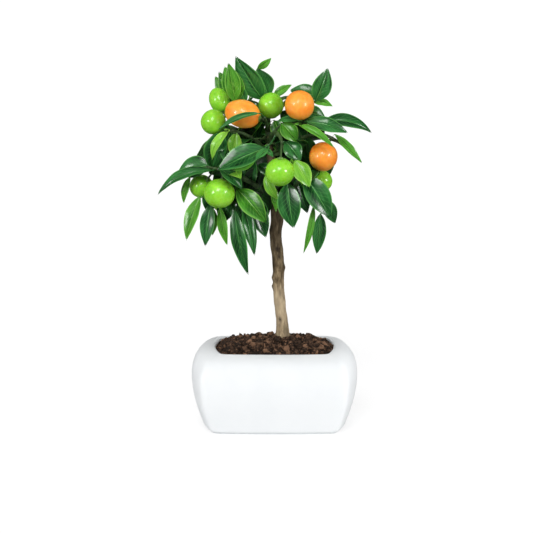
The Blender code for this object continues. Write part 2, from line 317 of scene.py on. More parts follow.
def leaf_upper_side(name, deep, middle, light, rib, roughness, wax):
    """The shining upper side of a leaf: sunken ribs, mottling and a lighter margin."""
    finish = Finish(name, roughness, Coat_Weight=wax, Coat_Roughness=0.17,
                    Specular_IOR_Level=0.22)
    across, along = finish.leaf_place()
    tone = finish.value("tone")
    mottling = finish.noise(55.0, 3.0)
    base = finish.mix(finish.between(mottling, 0.3, 0.72), deep, middle)
    base = finish.mix(tone, base, light)
    streaks = finish.streaks(7.0, 1.3)
    base = finish.mix(finish.between(streaks, 0.51, 0.66, 0.0, 0.65), base, light)
    base = finish.mix(finish.between(streaks, 0.49, 0.34, 0.0, 0.75), base, deep)

    phase = finish.rib_phase(across, along)
    wobble = finish.math("MULTIPLY", finish.noise(90.0, 1.0), 0.5)
    nearness = finish.math("PINGPONG", finish.math("ADD", phase, wobble), 0.5)
    side_rib = finish.between(nearness, 0.0, 0.11, 1.0, 0.0)
    side_rib = finish.math("MULTIPLY", side_rib, finish.between(across, 0.55, 0.98, 1.0, 0.0))
    half_rib = finish.math("MULTIPLY_ADD", along, -0.045, 0.075)
    midrib = finish.between(finish.math("DIVIDE", across, half_rib), 0.5, 1.3, 1.0, 0.0)
    base = finish.mix(finish.math("MULTIPLY", side_rib, 0.32), base, rib)
    base = finish.mix(finish.math("MULTIPLY", midrib, 0.85), base, rib)
    margin = finish.between(across, 0.86, 1.0, 0.0, 0.7)
    finish.colour(finish.mix(margin, base, rib))

    finish.roughness(finish.between(finish.noise(60.0, 2.0), 0.36, 0.64,
                                    roughness - 0.06, roughness + 0.12))
    finish.bump(finish.noise(650.0, 2.0), 0.05 * MM)
    finish.bump(side_rib, -0.12 * MM)
    return finish.material


def leaf_lower_side(name, base, light, rib):
    """The dull, paler underside, with raised ribs."""
    finish = Finish(name, 0.55, Specular_IOR_Level=0.25)
    across, along = finish.leaf_place()
    colour = finish.mix(finish.noise(70.0, 3.0), base, light)
    colour = finish.mix(finish.math("MULTIPLY", finish.value("tone"), 0.5), colour, light)
    phase = finish.rib_phase(across, along)
    nearness = finish.math("PINGPONG", phase, 0.5)
    side_rib = finish.between(nearness, 0.0, 0.12, 1.0, 0.0)
    side_rib = finish.math("MULTIPLY", side_rib, finish.between(across, 0.6, 1.0, 1.0, 0.0))
    midrib = finish.between(across, 0.04, 0.1, 1.0, 0.0)
    colour = finish.mix(finish.math("MULTIPLY", side_rib, 0.45), colour, rib)
    finish.colour(finish.mix(finish.math("MULTIPLY", midrib, 0.8), colour, rib))
    finish.bump(finish.noise(500.0, 2.0), 0.08 * MM)
    finish.bump(side_rib, 0.15 * MM)
    return finish.material


def leaf_edge(name, pale, green):
    finish = Finish(name, 0.45)
    finish.colour(finish.mix(finish.noise(120.0), pale, green))
    return finish.material


def twig_bark(name, dark, light, gloss):
    """Green or browning young bark with fine long streaks and pale pores."""
    finish = Finish(name, gloss)
    streaks = finish.noise(260.0, 4.0, (1, 1, 0.35))
    base = finish.mix(finish.between(streaks, 0.3, 0.7), dark, light)
    pores = finish.between(finish.cells(420.0), 0.0, 0.22, 0.5, 0.0)
    finish.colour(finish.mix(pores, base, (0.26, 0.27, 0.12)))
    finish.bump(streaks, 0.25 * MM)
    return finish.material


def trunk_bark():
    """Grey-tan bark, darker towards the crown as painted shade from it, with streaks, blotches and
    dark knots.
    """
    finish = Finish("trunk_bark", 0.85, Specular_IOR_Level=0.3)
    streaks = finish.noise(330.0, 5.0, (1, 1, 0.22), 0.65)
    blotches = finish.noise(75.0, 4.0, (1, 1, 0.6))
    base = finish.ramp(streaks, (0.34, (0.035, 0.022, 0.01)), (0.46, (0.13, 0.09, 0.046)),
                       (0.57, (0.27, 0.2, 0.112)), (0.68, (0.46, 0.36, 0.225)))
    base = finish.mix(finish.between(blotches, 0.5, 0.68, 0.0, 0.75), base, (0.38, 0.29, 0.175))
    base = finish.mix(finish.between(blotches, 0.44, 0.34, 0.0, 0.65), base, (0.075, 0.054, 0.026))
    height = finish.add("SeparateXYZ", {"Vector": finish.place}).outputs[2]
    pale = finish.math("MULTIPLY", finish.between(height, 0.152, 0.124, 0.0, 0.5),
                       finish.between(height, 0.092, 0.122, 0.35, 1.0))
    base = finish.mix(pale, base, (0.56, 0.45, 0.3))
    # painted shade: the bark darkens from 130 mm up to 210 mm, as if in the shadow of the crown
    high = finish.between(height, 0.13, 0.21, 0.0, 0.68)
    base = finish.mix(high, base, (0.048, 0.034, 0.017))
    green = finish.math("ADD", finish.between(finish.noise(45.0), 0.45, 0.65, 0.0, 0.5),
                        finish.between(height, 0.26, 0.3, -0.5, 0.45))
    base = finish.mix(finish.between(green, 0.0, 0.8, 0.0, 0.85), base, (0.03, 0.075, 0.018))
    finish.colour(finish.mix(finish.value("knot"), base, (0.022, 0.015, 0.009)))
    finish.bump(blotches, 0.8 * MM)
    finish.bump(streaks, 1.0 * MM)
    finish.bump(finish.cells(700.0), 0.2 * MM)
    return finish.material


def fruit_skin(name, shade, base, bright, gloss, flesh):
    """Smooth citrus skin over soft flesh: tiny oil glands, broad lighter and darker patches."""
    finish = Finish(name, gloss, Coat_Weight=0.35, Coat_Roughness=0.09, Specular_IOR_Level=0.35,
                    Subsurface_Weight=0.35, Subsurface_Radius=flesh, Subsurface_Scale=5 * MM)
    patches = finish.noise(70.0, 2.0)
    colour = finish.mix(finish.between(patches, 0.34, 0.66), base, bright)
    colour = finish.mix(finish.value("shoulder"), colour, shade)
    glands = finish.cells(850.0)
    specks = finish.between(glands, 0.05, 0.32, 0.16, 0.0)
    colour = finish.mix(specks, colour, shade)
    finish.colour(colour)
    finish.roughness(finish.between(finish.noise(300.0), 0.3, 0.7, gloss - 0.05, gloss + 0.09))
    finish.bump(finish.between(glands, 0.0, 0.45), 0.13 * MM)
    finish.bump(finish.noise(120.0, 2.0), 0.35 * MM)
    return finish.material


def pot_glaze():
    """White satin glaze, very slightly uneven in colour and surface."""
    finish = Finish("white_glaze", 0.34, Specular_IOR_Level=0.35)
    finish.colour(finish.mix(finish.between(finish.noise(22.0, 3.0), 0.35, 0.65),
                             (0.79, 0.812, 0.826), (0.81, 0.83, 0.842)))
    finish.roughness(finish.between(finish.noise(60.0, 2.0), 0.3, 0.7, 0.3, 0.4))
    finish.bump(finish.noise(35.0, 2.0), 0.3 * MM)
    finish.bump(finish.noise(420.0, 2.0), 0.02 * MM)
    return finish.material


def compost(name, dark, middle, light):
    """Moist bark compost: dark, partly as painted shade between the crumbs, with fibres and lighter
    faces, each crumb its own shade.
    """
    finish = Finish(name, 0.88, Specular_IOR_Level=0.25)
    grain = finish.noise(520.0, 4.0, rough=0.7)
    base = finish.ramp(grain, (0.3, dark), (0.52, middle), (0.75, light))
    tone = finish.value("tone")
    base = finish.mix(finish.between(tone, 0.5, 1.0, 0.0, 0.75), base, light)
    # low tones darken towards the dark colour; the soil under the crumbs takes such tones, partly as
    # painted shade in the gaps between crumbs
    finish.colour(finish.mix(finish.between(tone, 0.5, 0.0, 0.0, 0.75), base, dark))
    finish.bump(grain, 0.6 * MM)
    return finish.material


STREAK_SHIFT = 61.0  # how far the streaks move on from one tone of leaf to the next
VEINS = 9.0          # side ribs along a leaf's half
VEIN_SLANT = 2.6     # how far a side rib runs forward on its way to the margin, in rib spacings

# SHADED is a darkened copy of the leaf colours rather than an age of leaf: painted shade for leaves
# deep in the crown
SHADED, OLD, GROWN, YOUNG = "shaded", "old", "middle", "young"
LEAF_SLOT = {SHADED: "leaf", OLD: "leaf", GROWN: "leaf", YOUNG: "young_leaf"}
UPPER = {
    # painted shade: the shaded leaf's colours are far darker than the old leaf's
    SHADED: leaf_upper_side("shaded_leaf", (0.001, 0.008, 0.001), (0.002, 0.026, 0.002),
                            (0.01, 0.08, 0.006), (0.03, 0.13, 0.016), 0.5, 0.06),
    # the old leaf's light colour leans a little to blue, partly painted sheen
    OLD: leaf_upper_side("old_leaf", (0.001, 0.017, 0.004), (0.005, 0.07, 0.013),
                         (0.038, 0.2, 0.042), (0.11, 0.385, 0.075), 0.3, 0.45),
    GROWN: leaf_upper_side("grown_leaf", (0.01, 0.09, 0.005), (0.035, 0.2, 0.012),
                                 (0.1, 0.36, 0.03), (0.25, 0.55, 0.085), 0.31, 0.35),
    YOUNG: leaf_upper_side("new_leaf", (0.08, 0.3, 0.014), (0.15, 0.43, 0.03),
                           (0.27, 0.6, 0.055), (0.43, 0.74, 0.12), 0.36, 0.3),
}
LOWER = {
    # painted shade: a darker underside for the shaded leaves
    SHADED: leaf_lower_side("shaded_leaf_underside", (0.006, 0.035, 0.004), (0.02, 0.08, 0.01),
                            (0.05, 0.14, 0.03)),
    OLD: leaf_lower_side("old_leaf_underside", (0.03, 0.13, 0.022), (0.08, 0.25, 0.045),
                         (0.2, 0.42, 0.1)),
    GROWN: leaf_lower_side("grown_leaf_underside", (0.08, 0.26, 0.04),
                                 (0.15, 0.38, 0.065), (0.3, 0.54, 0.13)),
    YOUNG: leaf_lower_side("new_leaf_underside", (0.2, 0.47, 0.06), (0.3, 0.6, 0.1),
                           (0.45, 0.72, 0.17)),
}
# the shaded leaves' edge colours are darker too: painted shade
EDGE = {SHADED: leaf_edge("shaded_leaf_edge", (0.03, 0.1, 0.016), (0.014, 0.05, 0.008)),
        OLD: leaf_edge("old_leaf_edge", (0.13, 0.34, 0.07), (0.06, 0.2, 0.04)),
        GROWN: leaf_edge("grown_leaf_edge", (0.24, 0.5, 0.1), (0.12, 0.34, 0.05)),
        YOUNG: leaf_edge("new_leaf_edge", (0.45, 0.72, 0.14), (0.28, 0.56, 0.08))}
LEAF_STALK = twig_bark("leaf_stalk", (0.07, 0.2, 0.03), (0.16, 0.33, 0.06), 0.5)
TWIG = twig_bark("green_twig", (0.012, 0.034, 0.008), (0.055, 0.12, 0.026), 0.6)
BARK = trunk_bark()
SKIN = {"fruit_green": fruit_skin("green_fruit_skin", (0.09, 0.33, 0.012), (0.21, 0.57, 0.025),
                                  (0.3, 0.68, 0.045), 0.26, (0.5, 1.0, 0.1)),
        "fruit_orange": fruit_skin("orange_fruit_skin", (0.84, 0.18, 0.008), (0.97, 0.28, 0.022),
                                   (1.0, 0.38, 0.055), 0.33, (1.0, 0.4, 0.05))}
CALYX = twig_bark("fruit_cap", (0.06, 0.15, 0.02), (0.16, 0.32, 0.06), 0.6)
GLAZE = pot_glaze()
# the near-black darkest colour partly paints the shade in the gaps between crumbs
COMPOST = compost("compost", (0.003, 0.002, 0.001), (0.045, 0.024, 0.014), (0.24, 0.13, 0.075))


# ---------------------------------------------------------------- reading the CAD model

def welded(node):
    """A CAD node as a bmesh with its loose triangles merged."""
    bm = bmesh.new()
    bm.from_mesh(nodes[node].data)
    bmesh.ops.remove_doubles(bm, verts=bm.verts, dist=WELD)
    return bm


def rings_from(first):
    """The rings of corner points along a tube-like body, from those at one end."""
    rings, seen = [list(first)], set(first)
    while rings[-1]:
        beyond = {e.other_vert(v) for v in rings[-1] for e in v.link_edges} - seen
        seen |= beyond
        rings.append(list(beyond))
    return [np.array([v.co for v in ring]) for ring in rings[:-1]]


def farthest(verts, place):
    return max(verts, key=lambda v: (v.co - place).length)


def stem_rings(node):
    """A CAD stem's middle line, as points and radii from its thick end to its thin one."""
    bm = welded(node)
    flat = bm.copy()
    bmesh.ops.dissolve_limit(flat, angle_limit=math.radians(0.3), verts=flat.verts,
                             edges=flat.edges)
    cap = max(flat.faces, key=lambda f: len(f.verts))
    corners = [v.co.copy() for v in cap.verts]
    first = [v for v in bm.verts if min((v.co - c).length for c in corners) < WELD]
    rings = rings_from(first)
    middles = np.array([ring.mean(0) for ring in rings])
    radii = np.array([np.linalg.norm(ring - m, axis=1).mean() for ring, m in zip(rings, middles)])
    bm.free()
    flat.free()
    if radii[0] < radii[-1]:
        middles, radii = middles[::-1], radii[::-1]
    return np.column_stack([middles, radii])


class LeafShape:
    """Where a leaf lies: rows along its blade of midrib point, way across and way up."""

    def __init__(self, start, line, across, up, width):
        self.start, self.width = np.asarray(start), width
        self.line, self.across, self.up = map(np.asarray, (line, across, up))
        steps = np.linalg.norm(np.diff(self.line, axis=0), axis=1)
        self.share = np.concatenate([[0], np.cumsum(steps)]) / steps.sum()
        self.length = steps.sum()

    def at(self, along):
        """Midrib points, ways across and ways up at shares of the blade's length."""
        rows = np.interp(along, self.share, np.arange(len(self.share)))
        return spline(self.line, rows), unit(spline(self.across, rows)), unit(spline(self.up, rows))


def cad_leaf(node):
    """Reads a CAD leaf: six points a ring, two rings on its stalk and the rest on its blade."""
    bm = welded(node)
    middle = sum((v.co for v in bm.verts), Vector()) / len(bm.verts)
    one_end = farthest(bm.verts, middle)
    for end in (one_end, farthest(bm.verts, one_end.co)):
        first = sorted(bm.verts, key=lambda v: (v.co - end.co).length)[:6]
        rings = rings_from(first)
        spread = max(np.linalg.norm(rings[1] - rings[1].mean(0), axis=1))
        if all(len(ring) == 6 for ring in rings) and spread > 1.6 * MM:
            break
    bm.free()
    rings.reverse()

    line, left, right = [], [], []
    for ring in rings[2:]:
        gaps = np.linalg.norm(ring[:, None] - ring[None], axis=2)
        a, b = np.unravel_index(gaps.argmax(), gaps.shape)
        near_a = gaps[a].argsort()[:2]
        near_b = gaps[b].argsort()[:2]
        rest = [i for i in range(6) if i not in near_a and i not in near_b]
        line.append(ring[rest].mean(0))
        left.append(ring[near_a].mean(0))
        right.append(ring[near_b].mean(0))
    line, left, right = map(np.array, (line, left, right))
    across = unit(right - left)
    for i in range(1, len(across)):
        if across[i] @ across[i - 1] < 0:
            across[i] *= -1
            left[i], right[i] = right[i].copy(), left[i].copy()
    run = unit(np.gradient(line, axis=0))
    up = unit(np.cross(across, run))
    widest = np.linalg.norm(right - left, axis=1).argmax()
    if up[widest] @ ((left + right)[widest] / 2 - line[widest]) < 0:
        up = -up
    width = np.linalg.norm(right - left, axis=1).max()
    return LeafShape(rings[0].mean(0), line, across, up, width)


def cad_fruit(node):
    """A CAD fruit's middle, the way to its stalk, its radius, half length and stalk's end."""
    bm = welded(node)
    wide = [v for v in bm.verts if min(e.calc_length() for e in v.link_edges) > 3 * MM]
    pole = max(wide, key=lambda v: len(v.link_edges))
    rings = rings_from([pole])
    middles = [ring.mean(0) for ring in rings]
    radii = [np.linalg.norm(ring - m, axis=1).mean() for ring, m in zip(rings, middles)]
    bm.free()
    widest = int(np.argmax(radii))
    axis = middles[widest] - middles[0]
    half_length = np.linalg.norm(axis)
    return middles[widest], axis / half_length, radii[widest], half_length, middles[-1]


# ---------------------------------------------------------------- stems and where things join them

TRUNK_NODES = ("trunk", "leader")
BRANCHES = sorted(n for n in nodes if n.startswith("branch_"))
stems = {n: stem_rings(n) for n in (*TRUNK_NODES, *BRANCHES)}

# Short green twigs that carry the leaves between the branches: points (x, y, z) in mm
TWIGS = {
    "twig_far_left": [(-57, -21, 265), (-68, -19, 266), (-78, -16, 263), (-86, -11, 258)],
    "twig_front_middle": [(8, -24, 257), (-2, -33, 262), (-11, -38, 263)],
    "twig_left_front": [(-36, -20, 302), (-42, -28, 303), (-47, -33, 307)],
    "twig_tangle": [(-5, 2, 284), (-9, -10, 293), (-20, -24, 296)],
    "twig_tangle_low": [(-4, 0, 275), (3, -12, 284), (-1, -24, 291), (-8, -36, 292)],
    "twig_tangle_side": [(-6, 3, 296), (-14, -4, 290), (-24, -8, 284), (-32, -6, 276)],
    "twig_under_left": [(-22, -8, 228), (-28, -2, 232), (-36, 8, 238)],
    "twig_top": [(-8, 12, 333), (-14, 10, 344), (-18, 11, 352)],
    "twig_front_high": [(-2, -22, 300), (4, -24, 308), (10, -26, 311)],
    "twig_inner_left": [(-5, 1, 275), (-14, 6, 284), (-26, 10, 292), (-36, 16, 298)],
    "twig_inner_right": [(0, 2, 262), (12, 4, 270), (22, 10, 278), (34, 14, 284)],
    "twig_back_middle": [(-5, 3, 290), (-4, 16, 296), (2, 34, 300), (4, 52, 298), (4, 66, 292)],
    "twig_back_low_middle": [(1, 3, 240), (4, 18, 246), (8, 34, 248), (10, 50, 244)],
    "twig_back_far_left": [(-44, 57, 292), (-54, 50, 290), (-64, 40, 284), (-72, 28, 276)],
    "twig_back_far_right": [(30, 38, 280), (44, 36, 284), (58, 28, 284), (70, 20, 280)],
    "twig_back_top_left": [(-7, 8, 318), (-14, 18, 322), (-24, 30, 324), (-32, 42, 320)],
}
TWIG_RADIUS = (1.25, 0.75)
for name, route in TWIGS.items():
    radii = np.linspace(*TWIG_RADIUS, len(route))
    stems[name] = np.column_stack([np.array(route, float), radii]) * MM

fine_stems = {name: spline(path, np.linspace(0, len(path) - 1, 12 * len(path)))
              for name, path in stems.items()}


def nearest_stem(place):
    """The point and radius of a stem's middle line nearest to a place."""
    best = min((path[np.linalg.norm(path[:, :3] - place, axis=1).argmin()]
                for path in fine_stems.values()), key=lambda p: np.linalg.norm(p[:3] - place))
    return best[:3], best[3]


def free_leaf(foot, tip, width, looks, bow, twist=0.0):
    """A leaf that CAD leaves out: its places in mm, its stalk to the nearest stem."""
    foot, tip = np.array(foot, float) * MM, np.array(tip, float) * MM
    chord = unit(tip - foot)
    upper = unit(np.array(looks, float))
    lift = unit(upper - chord * (upper @ chord))
    middle = (foot + tip) / 2 + lift * bow * 2 * MM
    t = np.linspace(0, 1, 7)[:, None]
    line = foot * (1 - t) ** 2 + middle * 2 * t * (1 - t) + tip * t ** 2
    run = unit(np.gradient(line, axis=0))
    across = unit(np.cross(run, lift))
    up = unit(np.cross(across, run))
    turn = math.radians(twist) * (t - 0.3)
    across, up = across * np.cos(turn) + up * np.sin(turn), up * np.cos(turn) - across * np.sin(turn)
    twig, radius = nearest_stem(foot)
    start = twig + unit(foot - twig) * radius * 0.5
    return LeafShape(start, line, across, up, width * MM)


# ---------------------------------------------------------------- the leaf that all leaves copy

MASTER_LENGTH = 50 * MM
MASTER_HALF = 10 * MM
LEAF_COLUMNS = 14
LEAF_ROWS = 26
LEAF_THICK = 0.45 * MM
LEAF_SLOTS = 4             # upper side, lower side, edge and stalk
STALK_ROWS = 6
STALK_RADIUS = 0.8 * MM


def half_width(v):
    """A kumquat leaf's outline: the share of the full half width, from foot to tapering tip."""
    v = np.clip(v, 0, 1)
    return np.sin(np.pi * v ** 0.86) ** 0.85 * (1 - 0.38 * v ** 5)


def make_leaf_master():
    """A blade from a grid, given ribs and thickness, with a stalk from a stretched cylinder."""
    bpy.ops.mesh.primitive_grid_add(x_subdivisions=LEAF_COLUMNS, y_subdivisions=LEAF_ROWS, size=2)
    blade = added("leaf_master")
    co = points_of(blade.data)
    side = np.sign(co[:, 0]) * np.abs(co[:, 0]) ** 1.3
    v = (co[:, 1] + 1) / 2
    v = v + 0.035 * np.sin(2 * np.pi * v)
    across = np.abs(side)
    groove = -0.35 * np.exp(-(across / 0.07) ** 2)
    swell = 0.32 * np.cos(2 * np.pi * (v * VEINS - across * VEIN_SLANT)) * across * (1 - across)
    arch = 1.5 * across * (1 - across) * np.sin(np.pi * v)
    height = (groove - swell + arch) * np.sin(np.pi * np.clip(v, 0.02, 0.98)) ** 0.4
    reach = half_width(np.clip(v, 0.004, 0.9965))
    set_points(blade.data, np.column_stack([side * reach * MASTER_HALF, v * MASTER_LENGTH,
                                            height * MM]))
    for slot in range(LEAF_SLOTS):
        blade.data.materials.append(LEAF_STALK)
    apply_modifier(blade, "SOLIDIFY", thickness=LEAF_THICK, offset=-1, material_offset=1,
                   material_offset_rim=2, use_even_offset=False)
    co = points_of(blade.data)
    normals = np.array([v.normal for v in blade.data.vertices])
    v = co[:, 1] / MASTER_LENGTH
    across = np.abs(co[:, 0]) / (np.maximum(half_width(v), 0.05) * MASTER_HALF)
    keel = 0.42 * np.exp(-(across / 0.1) ** 2) * (1 - v) ** 0.6 * (normals[:, 2] < -0.3)
    co[:, 2] -= keel * MM
    set_points(blade.data, co)

    bpy.ops.mesh.primitive_circle_add(vertices=8, radius=STALK_RADIUS, fill_type="NGON",
                                      location=(0, 0, -1))
    stalk = added("leaf_stalk_master")
    edit_all()
    for row in range(STALK_ROWS):
        extrude_up(1 / STALK_ROWS)
    face_outwards()
    bpy.ops.object.transform_apply(location=True)
    co = points_of(stalk.data)
    thick = 1 + 0.35 * (co[:, 2] + 0.5) ** 2 * 4
    set_points(stalk.data, np.column_stack([co[:, 0] * thick, co[:, 2], co[:, 1] * thick]))
    stalk.data.flip_normals()
    for slot in range(LEAF_SLOTS):
        stalk.data.materials.append(LEAF_STALK)
    stalk.data.polygons.foreach_set("material_index", [LEAF_SLOTS - 1] * len(stalk.data.polygons))
    master = join("leaf_master", [blade, stalk])
    smooth(master, 50)
    return master


leaf_master = make_leaf_master()
leaf_points = points_of(leaf_master.data)
on_blade = leaf_points[:, 1] >= -1e-6


def lay_leaf(name, shape, age, tone, seed, fold=0.28, stands_for=()):
    """Copies the master leaf and lays it along a leaf's place."""
    chance = random.Random(seed)
    mesh = leaf_master.data.copy()
    mesh.name = name
    leaf = linked(name, mesh)

    x, y, z = leaf_points.T
    reach = shape.width / 2
    size = min(1.0, reach / MASTER_HALF * 1.1)
    v = np.clip(y / MASTER_LENGTH, 0, 1)
    middle, across, up = shape.at(v)
    share = x / MASTER_HALF
    ripple = 0.6 * chance.uniform(0.3, 1.0) * np.sin(2 * np.pi * (v * chance.uniform(1.6, 3.0)
                                                     + chance.random())
                                                     + (x > 0) * chance.uniform(0, 4))
    curl = chance.uniform(-0.1, 0.16)
    lift = (np.abs(share) * fold - share ** 2 * (curl + 0.08)) * reach
    lift += ripple * share ** 2 * size * MM + z * size
    co = middle + across * (share * reach)[:, None] + up * lift[:, None]

    # the stalk: a bent line from the stem into the foot of the blade
    foot, foot_across, foot_up = (row[0] for row in shape.at(np.zeros(1)))
    run = unit(shape.line[1] - shape.line[0])
    t = np.clip(y[~on_blade] + 1, 0, 1)[:, None]
    knee = foot - run * np.linalg.norm(foot - shape.start) * 0.45
    end = foot + run * 1.2 * MM
    line = shape.start * (1 - t) ** 2 + knee * 2 * t * (1 - t) + end * t ** 2
    slim = 0.62 + 0.38 * size
    side, rise = x[~on_blade, None] * slim, z[~on_blade, None] * slim
    co[~on_blade] = line + foot_across * side + foot_up * (rise - 0.25 * MM)
    set_points(mesh, co)

    set_value(mesh, "tone", np.full(len(co), tone))
    for slot, material in enumerate((UPPER[age], LOWER[age], EDGE[age], LEAF_STALK)):
        mesh.materials[slot] = material
    finished(leaf, LEAF_SLOT[age], *stands_for)
    return leaf


# Each CAD leaf's age and tone (0 for the deepest colour, 1 for the lightest)
CAD_LEAF_LOOKS = {
    # the crown leaves' light tones are partly painted sheen
    "leaf_crown_left": (OLD, 0.6), "leaf_crown_middle": (OLD, 0.5), "leaf_crown_right": (OLD, 0.6),
    "leaf_new_left": (GROWN, 0.5), "leaf_new_top": (GROWN, 0.6),
    "leaf_far_right": (OLD, 0.3), "leaf_right": (OLD, 0.5), "leaf_right_front": (GROWN, 0.7),
    "leaf_over_orange": (OLD, 0.8), "leaf_left_hanging": (YOUNG, 0.6), "leaf_left_broad": (OLD, 0.3),
    "leaf_front_left": (OLD, 0.2), "leaf_far_left": (OLD, 0.5),
    "leaf_low_far_left": (GROWN, 0.7), "leaf_low_left": (OLD, 0.32), "leaf_lowest": (OLD, 0.2),
    "leaf_low_middle": (OLD, 0.6), "leaf_middle": (GROWN, 0.2), "leaf_over_green": (OLD, 0.2),
    "leaf_front_low": (OLD, 0.22), "leaf_front_small": (YOUNG, 0.2), "leaf_low_right": (OLD, 0.28),
    "leaf_right_hanging": (OLD, 0.35), "leaf_back_left": (OLD, 0.4), "leaf_back_right": (OLD, 0.5),
    "leaf_back_top": (OLD, 0.4),
}

